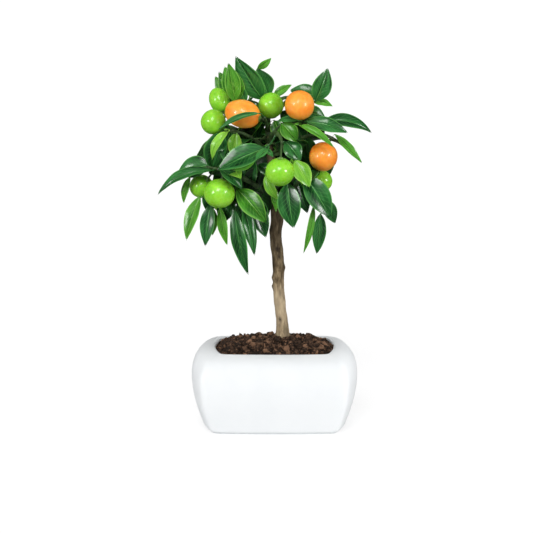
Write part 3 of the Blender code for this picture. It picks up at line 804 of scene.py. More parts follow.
# The leaves past the CAD model's number of pieces: foot and tip of the blade, width, the way the
# upper side looks, bow, age and tone
MORE_LEAVES = {
    "new_leaf_top": ((-17, 12, 360), (-3, 10, 371.5), 8, (-0.3, -0.8, -0.5), 2, GROWN, 0.9),
    "new_leaf_crown": ((-1, 6, 333), (17.5, 4, 345.5), 9, (0.2, -0.8, 0.6), 2, GROWN, 0.8),
    "leaf_behind_orange": ((44, -6, 335), (15, -2, 341), 19, (0.0, -0.8, 0.5), 2, OLD, 0.5),
    "new_leaf_right": ((38, -12, 331), (58, -12, 326.5), 10, (0.0, -0.6, 0.8), 2, GROWN, 0.9),
    "leaf_right_thin": ((60, -14, 298.5), (87.5, -18, 269.5), 9, (0.5, -0.8, 0.2), 2, GROWN, 0.6),
    "new_leaf_left": ((-38, -24, 302), (-42, -30, 278), 14, (0.0, 1.0, 0.0), -1, YOUNG, 0.2),
    # leaf_front_tip and leaf_front_pale lie where pale sheen shows; their light tones are partly
    # painted sheen
    "leaf_front_tip": ((-7, -50, 291), (-19, -60, 281.5), 9, (-0.1, -0.5, 0.9), 1, OLD, 0.9),
    "leaf_front_pale": ((-11, -44, 290), (-1, -48, 282), 7, (0.3, -0.6, 0.8), 1, OLD, 0.9),
    "leaf_left_lower": ((-19, -50, 281), (-41, -56, 270), 9, (0.1, -0.9, -0.4), 2, GROWN, 0.9),
    "leaf_left_shade": ((-64, -8, 266), (-97, 2, 256), 24, (-0.2, -0.8, 0.6), 3, OLD, 0.5),
    "new_leaf_far_left": ((-84, -14, 255), (-90.5, -14, 228), 9, (-0.6, -0.8, 0.1), 3, GROWN, 0.8),
    "leaf_low_thin": ((-54, -18, 225), (-47, -24, 187), 11, (-0.4, -0.9, 0.1), 2, GROWN, 0.7),
    "leaf_low_second": ((-61, -15, 223), (-62, -18, 196), 9, (0.3, -0.9, 0.1), 2, GROWN, 0.4),
    "leaf_low_small": ((-41, -12, 232), (-45, -16, 213), 10, (-0.3, -0.9, 0.2), 2, OLD, 0.6),
    "leaf_under_middle": ((-20, -8, 226), (-8.5, -14, 193), 18, (0.2, -0.9, 0.2), 2, OLD, 0.1),
    "new_leaf_front": ((-9, -40, 262), (4, -46, 238.5), 12, (-0.6, -0.8, 0.2), 3, YOUNG, 0.3),
    "leaf_front_thin": ((-2, -36, 252), (1.5, -43, 225), 8, (0.3, -0.9, 0.1), 2, GROWN, 0.8),
    "leaf_low_right_shade": ((50, -20, 234), (60.5, -18, 208.5), 14, (0.1, -0.9, 0.3), 2, OLD, 0.5),
    "leaf_right_low_thin": ((39, -30, 230), (28.5, -35, 181), 8, (0.5, -0.9, 0.1), 3, GROWN, 0.6),
    "leaf_right_strip": ((17, -38, 278), (30, -40, 247), 5, (-0.3, -0.9, 0.3), -2, YOUNG, 0.3),
    "leaf_centre_bright": ((7, -26, 312), (22.5, -32, 294), 18, (0.3, -0.9, 0.3), 2, GROWN, 0.5),
    "leaf_centre_flat": ((3, -24, 314), (28, -34, 316), 11, (0.0, -0.4, 0.9), 2, OLD, 0.9),
    "leaf_centre_shade": ((0, -12, 312), (7, -16, 295), 15, (0.0, -1.0, 0.2), 1, GROWN, 0.0),
    "leaf_centre_low": ((11, -26, 293), (26, -32, 275), 19, (0.2, -0.9, 0.4), 3, OLD, 0.6),
    # this leaf takes the darkened SHADED colours: painted shade
    "leaf_right_shade": ((30, -6, 295), (35, -3, 266), 20, (0.0, -1.0, 0.2), 2, SHADED, 0.6),
    "new_leaf_upper": ((-37, -5, 331), (-36, -6, 367), 14, (0.4, -0.8, 0.2), 2, GROWN, 0.5),
    "leaf_upper_thin": ((-29, -3, 329), (-34, -4, 348), 10, (-0.3, -0.9, 0.1), 1, OLD, 0.7),
    "leaf_right_gloss": ((27, -17, 322), (51, -25, 317), 17, (0.1, -0.7, 0.7), 2, OLD, 0.6),
    "leaf_centre_dark": ((21, -14, 309), (30, -10, 291), 15, (0.1, -1.0, 0.1), 2, OLD, 0.1),
    "leaf_inner_strip": ((22, -8, 252), (33, -10, 217), 17, (0.1, -1.0, 0.2), 2, OLD, 0.0),
    "new_leaf_between": ((-38, 20, 326), (-50, 26, 360), 19, (0.1, -0.9, 0.2), 2, GROWN, 0.5),
    "new_leaf_fill": ((-36, 23, 322), (-56, 29, 354), 19, (-0.1, -0.9, 0.2), 1, GROWN, 0.3),
    "new_leaf_low": ((-36, -2, 330), (-38, -10, 362), 13, (0.3, -0.9, 0.2), 2, GROWN, 0.3),
    "leaf_low_fill": ((-34, -10, 232), (-26, -12, 202), 18, (0.1, -1.0, 0.1), 2, OLD, 0.2),
    "leaf_low_fill_left": ((-46, -8, 236), (-52, -10, 206), 18, (-0.1, -1.0, 0.1), 2, OLD, 0.1),
    "leaf_low_fill_right": ((-16, -6, 232), (-12, -8, 200), 16, (0.1, -1.0, 0.1), 2, OLD, 0.1),
    "leaf_low_fill_far": ((-62, -6, 244), (-66, -8, 216), 16, (-0.2, -1.0, 0.1), 2, OLD, 0.2),
    # leaf_middle_gloss and leaf_left_gloss lie where pale sheen shows; their light tones are partly
    # painted sheen
    "leaf_middle_gloss": ((-22, -36, 292), (-8, -42, 281), 9, (0.3, -0.6, 0.7), 1, OLD, 0.8),
    "leaf_middle_shade": ((-16, -34, 272), (-2, -38, 262), 12, (0.2, -0.8, 0.5), 1, OLD, 0.3),
    "leaf_left_gloss": ((-46, -18, 294), (-58, -20, 282), 13, (-0.2, -0.7, 0.6), 1, OLD, 0.7),
    # shaded leaves deep in the crown, behind all of these, in the darkened SHADED colours: painted
    # shade
    "inner_leaf_1": ((-30, 4, 300), (-52, 0, 272), 24, (-0.2, -1.0, 0.2), 3, SHADED, 0.0),
    "inner_leaf_2": ((-12, 6, 286), (-40, 2, 276), 22, (0.0, -1.0, 0.3), 3, SHADED, 0.0),
    "inner_leaf_3": ((-8, 8, 274), (-36, 4, 256), 24, (0.1, -1.0, 0.2), 3, SHADED, 0.1),
    "inner_leaf_4": ((-14, 0, 262), (-30, -4, 232), 22, (-0.2, -1.0, 0.1), 3, SHADED, 0.0),
    "inner_leaf_5": ((-4, 4, 266), (-14, -2, 228), 20, (0.2, -1.0, 0.2), 3, SHADED, 0.1),
    "inner_leaf_6": ((-34, -4, 252), (-48, -8, 222), 20, (-0.1, -1.0, 0.2), 3, SHADED, 0.1),
    "inner_leaf_7": ((-24, 2, 240), (-16, -4, 208), 18, (0.1, -1.0, 0.1), 3, SHADED, 0.0),
    "inner_leaf_8": ((-20, 8, 300), (-40, 10, 290), 16, (0.0, -0.9, 0.4), 2, SHADED, 0.1),
    "inner_leaf_9": ((6, 6, 278), (30, 2, 262), 22, (0.0, -1.0, 0.3), 3, SHADED, 0.0),
    "inner_leaf_10": ((10, 4, 262), (26, -2, 236), 24, (0.1, -1.0, 0.2), 3, SHADED, 0.0),
    "inner_leaf_11": ((28, 0, 272), (44, -4, 252), 22, (0.1, -1.0, 0.2), 3, SHADED, 0.1),
    "inner_leaf_12": ((22, 4, 300), (44, 0, 292), 20, (0.0, -1.0, 0.3), 3, SHADED, 0.0),
    "inner_leaf_13": ((34, 2, 250), (40, -4, 222), 20, (0.1, -1.0, 0.1), 3, SHADED, 0.0),
    "inner_leaf_14": ((2, 0, 296), (16, -4, 276), 18, (0.2, -1.0, 0.2), 2, SHADED, 0.1),
    "inner_leaf_15": ((2, -4, 250), (14, -8, 224), 20, (0.0, -1.0, 0.2), 2, SHADED, 0.0),
    "inner_leaf_16": ((-44, 2, 266), (-66, -2, 256), 20, (-0.1, -0.9, 0.4), 3, SHADED, 0.2),
    "inner_leaf_18": ((-18, 0, 250), (-6, -6, 214), 20, (0.1, -1.0, 0.1), 3, SHADED, 0.3),
    "inner_leaf_19": ((-40, 0, 262), (-62, -4, 246), 20, (-0.1, -1.0, 0.3), 3, SHADED, 0.4),
    "inner_leaf_17": ((32, -2, 312), (50, -6, 296), 18, (0.2, -0.9, 0.3), 2, SHADED, 0.1),
    "inner_leaf_20": ((6, 12, 316), (26, 10, 302), 16, (0.0, -1.0, 0.2), 2, SHADED, 0.2),
}
CAD_LEAVES = sorted(n for n in nodes if n.startswith("leaf_"))

# At most how many leaves grow in a spiral round each stem at the back and sides
SPIRALS = {"branch_back_left": 12, "branch_back_right": 12, "branch_back_top": 10,
           "branch_back_low": 11, "twig_back_middle": 10, "twig_back_low_middle": 9,
           "twig_back_far_left": 10, "twig_back_far_right": 10, "twig_back_top_left": 10,
           "twig_inner_left": 8, "twig_inner_right": 8, "twig_under_left": 6,
           "branch_right": 6, "branch_left": 4, "branch_upper_left": 4}
# Patches of the crown, seen from the front, that the leaves behind keep to: x and height, low
# and high, in mm
SHELTER = [(-60, 44, 222, 300), (-40, 40, 208, 222), (-32, -4, 300, 352), (12, 44, 300, 334),
           (-60, -40, 296, 318)]
BACK_REACH = 90            # how far back the leaves may grow, in mm
FRUIT_CLEARANCE = 1.5 * MM
WAYS_TRIED = 14            # for each leaf, before it is left out
AGES, AGE_SHARES = (OLD, GROWN, YOUNG), (8, 4, 1)
RISE_SIN, RISE_COS = math.sin(math.radians(12)), math.cos(math.radians(12))


def sheltered(points):
    """Whether points at the back stay behind the front of the crown."""
    for x, y, z in points / MM:
        height = z * RISE_COS + y * RISE_SIN
        if y > BACK_REACH or not any(a <= x <= b and c <= height <= d for a, b, c, d in SHELTER):
            return False
    return True


def clear_of_fruit(points, fruits):
    """Whether points stay out of the fruit."""
    return all(np.linalg.norm(points - centre, axis=1).min() > radius + FRUIT_CLEARANCE
               for centre, radius in fruits)


def spiral_leaves(fruits):
    """Leaves in a spiral round the stems at the back, each a third of a turn and more on."""
    chance = random.Random(31)
    made = []
    for stem, number in SPIRALS.items():
        path = fine_stems[stem]
        turn = chance.uniform(0, math.tau)
        for count in range(number):
            row = int((0.25 + 0.75 * (count + 0.6) / number) * (len(path) - 1))
            base = path[row, :3]
            run = Vector(unit(path[min(row + 3, len(path) - 1), :3] - path[max(row - 3, 0), :3]))
            side = run.orthogonal().normalized()
            for _ in range(WAYS_TRIED):
                turn += GOLDEN_ANGLE
                out = side.copy()
                out.rotate(Quaternion(run, turn))
                way = run * chance.uniform(0.1, 0.6) + out + Vector((0, 0, -chance.uniform(0, 0.5)))
                way.normalize()
                length = chance.uniform(33, 50)
                foot = base / MM + np.array(way) * chance.uniform(5, 8)
                drop = chance.uniform(0.0, 0.35) * length
                tip = foot + np.array(way) * length - (0, 0, drop)
                looks = np.array(out) * 0.3 + (0, 0, 1.0) + np.array([*base[:2] / MM, 0]) * 0.012
                width = length * chance.uniform(0.36, 0.46)
                shape = free_leaf(foot, tip, width, looks, chance.uniform(2, 5))
                reach = np.vstack([shape.line, shape.line + shape.across * width * 0.4 * MM,
                                   shape.line - shape.across * width * 0.4 * MM])
                if sheltered(reach) and clear_of_fruit(reach, fruits):
                    age = chance.choices(AGES, AGE_SHARES)[0]
                    made.append((shape, age, chance.uniform(0.0, 0.7)))
                    break
    return made


def make_leaves():
    """The leaves of the CAD model, those that it leaves out, and the spirals at the back."""
    for count, node in enumerate(CAD_LEAVES):
        age, tone = CAD_LEAF_LOOKS[node]
        lay_leaf(node.replace("leaf_", "blade_"), cad_leaf(node), age, tone, count,
                 stands_for=(node,))
    for count, (name, row) in enumerate(MORE_LEAVES.items()):
        *place, age, tone = row
        lay_leaf(name, free_leaf(*place), age, tone, 100 + count)
    fruits = [(f[0], f[2]) for f in (cad_fruit(n) for n in nodes if n.startswith("fruit_"))]
    for count, (shape, age, tone) in enumerate(spiral_leaves(fruits)):
        lay_leaf("back_leaf_%d" % (count + 1), shape, age, tone, 300 + count)


# ---------------------------------------------------------------- trunk, branches and twigs

def tube(name, path, sides, material):
    """A round stem along (x, y, z, radius) rows: a bevelled curve made into a closed mesh."""
    curve = bpy.data.curves.new(name, "CURVE")
    curve.dimensions = "3D"
    curve.bevel_depth = 1.0
    curve.bevel_resolution = sides // 2 - 2
    curve.use_fill_caps = True
    line = curve.splines.new("POLY")
    line.points.add(len(path) - 1)
    for point, (x, y, z, radius) in zip(line.points, path):
        point.co = (x, y, z, 1.0)
        point.radius = radius
    only(linked(name, curve))
    bpy.ops.object.convert(target="MESH")
    stem = added(name)
    edit_all()
    bpy.ops.mesh.remove_doubles(threshold=WELD)
    face_outwards()
    stem.data.materials.clear()
    stem.data.materials.append(material)
    return stem


# Knots on the trunk: height, way it faces in degrees from the front, size and how far it stands out
KNOTS = [(180, 5, 6.0, -0.9), (172, 12, 3.5, 0.8), (150, -82, 4.0, 1.5), (141, -78, 3.5, 1.6),
         (199, -60, 4.5, 1.1), (120, 150, 5.0, 1.2), (160, 100, 4.0, 1.2), (188, 175, 4.5, 1.3),
         (130, 60, 3.0, 0.6), (108, -20, 3.5, -0.5)]


def make_trunk():
    """The trunk and its leading shoot as one crooked, knotty stem."""
    rows = np.vstack([stems["trunk"], stems["leader"][1:]])
    path, _ = evenly(rows, TRUNK_SPACING)
    trunk = tube("bark_trunk", path, 36, BARK)

    co = points_of(trunk.data)
    nearest = np.abs(co[:, None, 2] - path[None, :, 2]).argmin(1)
    out = co - path[nearest, :3]
    out[:, 2] = 0
    out = unit(out)
    thick = path[nearest, 3]
    stretched = co * (1, 1, 0.3)
    swell = roughened(stretched, 7 * MM, 3.0) * 0.55 * MM
    ridges = roughened(stretched, 2.2 * MM, 9.0) * 0.3 * MM
    bulges = roughened(co, 16 * MM, 5.0, 2) * 0.5 * MM
    share = np.clip(thick / (6 * MM), 0.2, 1.0)
    move = (swell + ridges + bulges) * share
    knot_value = np.zeros(len(co))
    around = np.arctan2(out[:, 0], -out[:, 1])
    for height, facing, size, stand in KNOTS:
        turn = np.angle(np.exp(1j * (around - math.radians(facing))))
        away = np.hypot((co[:, 2] - height * MM) / 1.3, turn * thick)
        nearby = np.exp(-(away / (size * MM * 0.62)) ** 2)
        move += nearby * stand * MM
        knot_value = np.maximum(knot_value, np.exp(-(away / (size * MM * 0.5)) ** 2))
    foot = np.exp(-np.clip(co[:, 2] - 88 * MM, 0, None) / (5 * MM))
    move += foot * (0.8 + 0.9 * np.cos(around * 4 + 0.7)) * MM
    set_points(trunk.data, co + out * move[:, None])
    uneven = 0.75 + 0.5 * roughened(co, 2.5 * MM, 21.0)
    set_value(trunk.data, "knot", np.clip(knot_value * uneven, 0, 0.9))
    smooth(trunk)
    finished(trunk, "bark", *TRUNK_NODES)


def make_twig(name, rows, parent_point, joints, stands_for=()):
    """A branch or twig: grown out of its parent, swollen at the joints that it is given."""
    start = np.array([*parent_point, rows[0][3] * 1.05])
    rows = np.vstack([start, rows])
    path, even = evenly(rows, TWIG_SPACING)
    path[:, 3] *= 1 + 0.45 * np.exp(-even / (3.5 * MM))
    for joint in joints:
        away = np.linalg.norm(path[:, :3] - joint, axis=1)
        path[:, 3] += 0.35 * MM * np.exp(-(away / (1.8 * MM)) ** 2)
    path[-1, 3] *= 0.55
    twig = tube(name, path, 12, TWIG)
    co = points_of(twig.data)
    nearest = np.linalg.norm(co[:, None] - path[None, :, :3], axis=2).argmin(1)
    out = unit(co - path[nearest, :3])
    set_points(twig.data, co + out * (roughened(co, 4 * MM, 2.0) * 0.22 * MM)[:, None])
    smooth(twig)
    finished(twig, "twig", *stands_for)


def make_branches(joints):
    """The boughs of the CAD model and the twigs between them."""
    wood = np.vstack([fine_stems[n] for n in TRUNK_NODES])
    for node in BRANCHES:
        root = wood[np.linalg.norm(wood[:, :3] - stems[node][0, :3], axis=1).argmin(), :3]
        make_twig(node.replace("branch_", "bough_"), stems[node], root, joints, (node,))
    for name in TWIGS:
        rows = stems[name]
        make_twig(name, rows[1:], rows[0, :3], joints)


# ---------------------------------------------------------------- fruit

FRUIT_UNIT = 10 * MM
CAP_RADIUS = 3.0 * MM
# the cap's rise in mm and its size against the step below
CAP_STEPS = ((0.35, 1.0), (0.35, 0.86), (0.45, 0.72), (0.5, 0.62), (0.4, 0.7))
POINTS = 5                 # on the cap, and creases round the fruit's stalk end


def make_fruit_master():
    """A round fruit with dimpled ends, about its own Z axis, stalk end up."""
    bpy.ops.mesh.primitive_uv_sphere_add(segments=40, ring_count=26, radius=FRUIT_UNIT)
    fruit = added("fruit_master")
    co = points_of(fruit.data)
    r = np.hypot(co[:, 0], co[:, 1]) / FRUIT_UNIT
    top = co[:, 2] > 0
    dimple = np.where(top, 0.075 * np.exp(-(r / 0.22) ** 2), 0.03 * np.exp(-(r / 0.12) ** 2))
    co[:, 2] -= np.sign(co[:, 2]) * dimple * FRUIT_UNIT
    creases = np.cos(POINTS * np.arctan2(co[:, 1], co[:, 0]))
    co[:, 2] += np.where(top, 0.012 * creases * np.exp(-((r - 0.25) / 0.15) ** 2), 0) * FRUIT_UNIT
    set_points(fruit.data, co)
    return fruit


def make_cap_master():
    """The five-pointed green cap under the stalk, domed, about Z."""
    bpy.ops.mesh.primitive_circle_add(vertices=30, radius=CAP_RADIUS, fill_type="NGON")
    cap = added("cap_master")
    edit_all()
    for rise, size in CAP_STEPS:
        extrude_up(rise * MM)
        bpy.ops.transform.resize(value=(size, size, 1), center_override=(0, 0, 0))
    face_outwards()
    co = points_of(cap.data)
    angle = np.arctan2(co[:, 1], co[:, 0])
    r = np.hypot(co[:, 0], co[:, 1])
    lobes = 1 + 0.3 * np.cos(POINTS * angle) * np.clip(r / (2.6 * MM), 0, 1) ** 2
    co[:, :2] *= lobes[:, None]
    set_points(cap.data, co)
    return cap


def make_fruits():
    """Each fruit with its cap and stalk, as one piece."""
    body_master, cap_master = make_fruit_master(), make_cap_master()
    slots = {row["node"]: row["material_slot"] for row in frame["record"]["subparts"]}
    for count, node in enumerate(sorted(n for n in nodes if n.startswith("fruit_"))):
        centre, axis, radius, half_length, stalk_end = cad_fruit(node)
        turn = Vector(axis).to_track_quat("Z", "Y").to_matrix()
        spin = np.array(turn) @ np.array([[math.cos(count), -math.sin(count), 0],
                                          [math.sin(count), math.cos(count), 0], [0, 0, 1]])

        body = copied(body_master, "body")
        co = points_of(body.data) / FRUIT_UNIT
        rows = co * (radius, radius, half_length)
        uneven = 1 + 0.022 * roughened(rows, 13 * MM, count * 3.1, 2)
        place = (rows * uneven[:, None]) @ spin.T + np.array(centre)
        set_points(body.data, place)
        set_value(body.data, "shoulder", 0.75 * np.exp(-((1.0 - co[:, 2]) / 0.1)))
        body.data.materials.append(SKIN[slots[node]])

        cap = copied(cap_master, "cap")
        co = points_of(cap.data)
        r = np.hypot(co[:, 0], co[:, 1])
        co[:, 2] += half_length * 0.925 + 0.5 * MM - r ** 2 / radius * 0.35
        set_points(cap.data, co @ spin.T + np.array(centre))
        cap.data.materials.append(CALYX)

        foot = np.array(centre + axis * (half_length * 0.93 + 1.2 * MM))
        twig, _ = nearest_stem(np.array(stalk_end))
        bent = (foot + twig) / 2 + np.array(axis) * 0.6 * MM
        rows = [(*foot, 1.15 * MM), (*bent, 0.85 * MM), (*twig, 1.3 * MM)]
        stalk = tube("stalk", spline(rows, np.linspace(0, 2, 12)), 10, TWIG)

        fruit = join(node.replace("fruit_", "kumquat_"), [body, cap, stalk])
        smooth(fruit, 50)
        finished(fruit, slots[node], node)
    for master in (body_master, cap_master):
        bpy.data.objects.remove(master)


# ---------------------------------------------------------------- pot

pot_low, pot_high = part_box("pot")
POT_HALF = (pot_high - pot_low) / 2
SQUARENESS = 24.0
END_BULGE = 0.118
FRONT_BULGE = 0.05
POT_SEGMENTS = 144
# share of the way up, and how far in from the widest outline, up the outside and down the inside
POT_OUTSIDE = [(0.0, 18.4), (0.0, 15.8), (0.002, 15.1), (0.011, 14.8), (0.014, 15.4),
               (0.018, 14.5), (0.025, 13.0), (0.035, 12.1), (0.055, 11.1), (0.1, 9.8),
               (0.155, 8.1), (0.22, 6.3), (0.33, 3.5), (0.46, 1.3),
               (0.59, 0.15), (0.68, 0.1), (0.76, 0.9), (0.84, 2.9), (0.9, 5.8), (0.94, 8.9),
               (0.968, 12.4), (0.985, 15.8), (0.995, 18.8), (1.0, 21.2)]
POT_INSIDE = [(0.998, 22.6), (0.99, 23.6), (0.975, 24.1), (0.95, 23.8), (0.9, 20.5), (0.8, 13.0)]
SHOULDER = (0.6, 0.95)     # the shares of the height between which the front's shoulder tightens
FRONT_SHOULDER = 0.87      # how far the front leans in at the lip, for each unit at the ends
FRONT_FOOT = 0.87          # and at the foot
FOOT_TOP = 0.3             # the share of the height where the foot's lean ends


def eased(value):
    """A smooth step from 0 to 1."""
    value = min(max(value, 0.0), 1.0)
    return value * value * (3 - 2 * value)


def half_sizes(share, inset):
    """Half width and half depth of the pot for an inset, at a share of its height."""
    tight = (1 - FRONT_SHOULDER) * eased((share - SHOULDER[0]) / (SHOULDER[1] - SHOULDER[0]))
    steep = (1 - FRONT_FOOT) * eased(1 - share / FOOT_TOP)
    return POT_HALF.x - inset * MM, POT_HALF.y - inset * (1 - tight - steep) * MM


def outline_point(side, along):
    """A point of the pot's outline, for half sizes of 1: a side and a place along it, -1 to 1."""
    rounding = (1 + abs(along) ** SQUARENESS) ** (-1 / SQUARENESS)
    x, y = rounding, along * rounding
    for _ in range(side % 4):
        x, y = -y, x
    return x * (1 - END_BULGE * y * y), y * (1 - FRONT_BULGE * x * x)


def make_pot():
    """The pot: a rounded-rectangle outline extruded up the outside and down the inside."""
    bpy.ops.mesh.primitive_circle_add(vertices=POT_SEGMENTS, radius=1.0, fill_type="NGON")
    pot = added("glazed_pot")
    co = points_of(pot.data)
    turns = np.arctan2(co[:, 1], co[:, 0]) / (math.pi / 2)
    co[:, :2] = [outline_point(round(t), math.sin(math.pi * (t - round(t)))) for t in turns]
    set_points(pot.data, co)

    edit_all()
    size, height = (1.0, 1.0), 0.0
    for share, inset in POT_OUTSIDE + POT_INSIDE:
        if (share, inset) != POT_OUTSIDE[0]:
            extrude_up(share * POT_HALF.z * 2 - height)
        new_size = half_sizes(share, inset)
        bpy.ops.transform.resize(value=(new_size[0] / size[0], new_size[1] / size[1], 1),
                                 center_override=(0, 0, 0))
        size, height = new_size, share * POT_HALF.z * 2
    face_outwards()
    pot.data.materials.append(GLAZE)
    smooth(pot, 35)
    finished(pot, "pot", "pot")
    return pot


# ---------------------------------------------------------------- soil

SOIL_MARGIN = 1.5 * MM     # how far the soil runs in under the pot's lip
SOIL_DROP = 3.0 * MM       # how much lower the soil lies at the back corners
CRUMBS = 2800
soil_bm = welded("soil")
soil_tree = BVHTree.FromBMesh(soil_bm)
soil_bm.free()
soil_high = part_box("soil")[1]
foot_middle = stems["trunk"][0, :3]
OPENING = np.array(half_sizes(*POT_INSIDE[2]))


def soil_height(x, y):
    """The top of the CAD soil above a point, lower at the back corners."""
    hit = soil_tree.ray_cast(Vector((x, y, 0.2)), Vector((0, 0, -1)))[0]
    from_foot = math.hypot(x - foot_middle[0], y - foot_middle[1])
    if from_foot < 11 * MM:
        height = soil_high.z - 0.5 * MM
    elif hit is None:
        height = soil_high.z - 9 * MM
    else:
        height = max(hit.z, soil_high.z - 9 * MM)
    corner = eased((abs(x) / MM - 36) / 22) * eased((y / MM + 20) / 45)
    mound = 0.8 * MM * math.exp(-(from_foot / (26 * MM)) ** 2)
    return height + mound - SOIL_DROP * corner


def inside_opening(x, y, margin):
    """How far out a point is, as a share of the opening widened by a margin."""
    wide, deep = OPENING + margin
    u, v = x / wide, y / deep
    u, v = u / (1 - END_BULGE * v * v), v / (1 - FRONT_BULGE * u * u)
    return (abs(u) ** SQUARENESS + abs(v) ** SQUARENESS) ** (1 / SQUARENESS)


def make_soil():
    """The soil's lumpy top, and crumbs and bark chips of many sizes strewn over it."""
    bpy.ops.mesh.primitive_grid_add(x_subdivisions=110, y_subdivisions=80, size=2)
    soil = added("potting_soil")
    co = points_of(soil.data)
    flat = []
    for u, v in co[:, :2]:
        upright = abs(v) > abs(u)
        reach = max(abs(u), abs(v), 1e-6)
        side = (1 if v > 0 else 3) if upright else (0 if u > 0 else 2)
        along = -u / v if upright else v / (u or 1e-6)
        flat.append(np.array(outline_point(side, along)) * reach)
    flat = np.array(flat) * (OPENING + SOIL_MARGIN)
    z = np.array([soil_height(x, y) for x, y in flat])
    flat3 = np.column_stack([flat, z])
    z += roughened(flat3, 9 * MM, 4.0) * 1.3 * MM + roughened(flat3, 3 * MM, 8.0) * 1.3 * MM
    set_points(soil.data, np.column_stack([flat, z - 1.0 * MM]))
    apply_modifier(soil, "SOLIDIFY", thickness=6 * MM, offset=-1)
    # low tones make the soil under the crumbs darker than most crumbs: partly the compost's own dark
    # colour, partly painted shade in the gaps between crumbs
    set_value(soil.data, "tone", 0.12 + 0.2 * roughened(points_of(soil.data), 4 * MM, 2.0))
    soil.data.materials.append(COMPOST)
    smooth(soil)
    finished(soil, "soil", "soil")
    scatter_crumbs()


def make_crumb_masters():
    """A rounded lump and an angular bark chip, each with a few dozen faces."""
    bpy.ops.mesh.primitive_ico_sphere_add(subdivisions=2, radius=1.0)
    lump = added("lump_master")
    co = points_of(lump.data)
    set_points(lump.data, co * (1 + 0.4 * roughened(co, 0.9, 1.0))[:, None])
    bpy.ops.mesh.primitive_cube_add(size=2.0)
    chip = added("chip_master")
    edit_all()
    bpy.ops.mesh.subdivide(number_cuts=1)
    bpy.ops.object.mode_set(mode="OBJECT")
    co = points_of(chip.data)
    set_points(chip.data, co * (1, 0.62, 0.34) * (1 + 0.35 * roughened(co, 0.8, 6.0))[:, None])
    return lump, chip


def lay_crumb(master, place, size, tone):
    """One crumb: a copy of a master, stretched and turned at random."""
    stretch = np.array([dice.uniform(0.7, 1.5), dice.uniform(0.6, 1.1), dice.uniform(0.6, 1.0)])
    crumb = copied(master, "crumb")
    set_points(crumb.data, (points_of(master.data) * stretch * size) @ noise_turn().T + place)
    set_value(crumb.data, "tone", np.full(len(crumb.data.vertices), tone))
    return crumb


# Larger lumps: x, y, size and tone
LUMPS = [(12, -31, 3.6, 0.9), (1.5, -7, 3.4, 0.45), (4.5, -9.5, 3.2, 0.35), (15.5, -6, 3.0, 0.5),
         (12.5, -9, 2.6, 0.4), (-21, -24, 3.4, 0.8), (-30, -30, 3.2, 0.7), (30, -31, 3.0, 0.75),
         (-9, -33, 2.8, 0.85), (41, -18, 3.0, 0.6), (-43, -12, 3.2, 0.5), (22, 8, 3.2, 0.8),
         (-16, 20, 3.4, 0.7), (36, 22, 3.2, 0.55), (-34, 14, 3.0, 0.8), (3, 30, 3.3, 0.7)]


def scatter_crumbs():
    """Strews copies of the two crumbs over the soil, joined into one piece of each kind."""
    masters = make_crumb_masters()
    for master, name, number in zip(masters, ("soil_crumbs", "bark_chips"),
                                    (CRUMBS * 2 // 3, CRUMBS // 3)):
        crumbs = []
        if master is masters[0]:
            for x, y, size, tone in LUMPS:
                x, y = x * MM, y * MM
                place = (x, y, soil_height(x, y) + size * 0.3 * MM)
                crumbs.append(lay_crumb(master, place, size * MM, tone))
        while len(crumbs) < number:
            x = dice.uniform(-1, 1) * OPENING[0]
            y = dice.uniform(-1, 1) * OPENING[1]
            size = min(0.4 + dice.expovariate(1.75), 3.2) * MM
            if inside_opening(x, y, -size * 0.7) > 1.0:
                continue
            if math.hypot(x - foot_middle[0], y - foot_middle[1]) < 6.0 * MM + size:
                continue
            place = (x, y, soil_height(x, y) + dice.uniform(-0.1, 0.6) * size)
            tone = min(1.0, max(0.0, dice.gauss(0.38, 0.34)))
            crumbs.append(lay_crumb(master, place, size, tone))
        strewn = join(name, crumbs)
        strewn.data.materials.append(COMPOST)
        smooth(strewn, 35)
        finished(strewn, "soil")
        bpy.data.objects.remove(master)


def noise_turn():
    """A random turn, as a matrix."""
    axis = Vector((dice.gauss(0, 1), dice.gauss(0, 1), dice.gauss(0, 1))).normalized()
    from_angle = dice.uniform(0, math.tau)
    c, s = math.cos(from_angle), math.sin(from_angle)
    x, y, z = axis
    cross = np.array([[0, -z, y], [z, 0, -x], [-y, x, 0]])
    return np.eye(3) * c + cross * s + np.outer(axis, axis) * (1 - c)


# ---------------------------------------------------------------- studio

# The lights: name, azimuth, elevation and angular size in degrees, strength, and whether gloss
# shows them. The first group lights all but the pot, and the second only the pot.
TREE_LIGHTS = [("left_light", -50, 15, 17, 1.4, True), ("right_light", 50, 15, 17, 1.65, True),
               ("front_light", -8, 40, 24, 1.7, True), ("top_light", 10, 98, 50, 1.0, False),
               ("left_fill", -98, 8, 60, 0.6, False), ("right_fill", 98, 8, 60, 0.75, False),
               ("back_light", 175, 30, 50, 0.8, False)]
POT_CARDS = [("low_card", 0, -45, 40, 1.05, False), ("high_card", 0, 45, 40, 1.0, False),
             ("rim_card", 0, 78, 20, 0.95, False), ("left_card", -50, -10, 40, 1.35, False),
             ("right_card", 50, -10, 40, 1.4, False), ("left_end_card", -92, 0, 40, 1.5, False),
             ("right_end_card", 92, 0, 40, 1.8, False), ("back_card", 180, 30, 50, 1.6, False),
             ("pot_gloss_left", -35, 30, 12, 0.35, True),
             ("pot_gloss_right", 35, 30, 12, 0.35, True)]
FLOOR_GLOW = 0.7           # for the camera alone
FAINT_SKY = 0.05           # the light from all around; the camera sees it as white


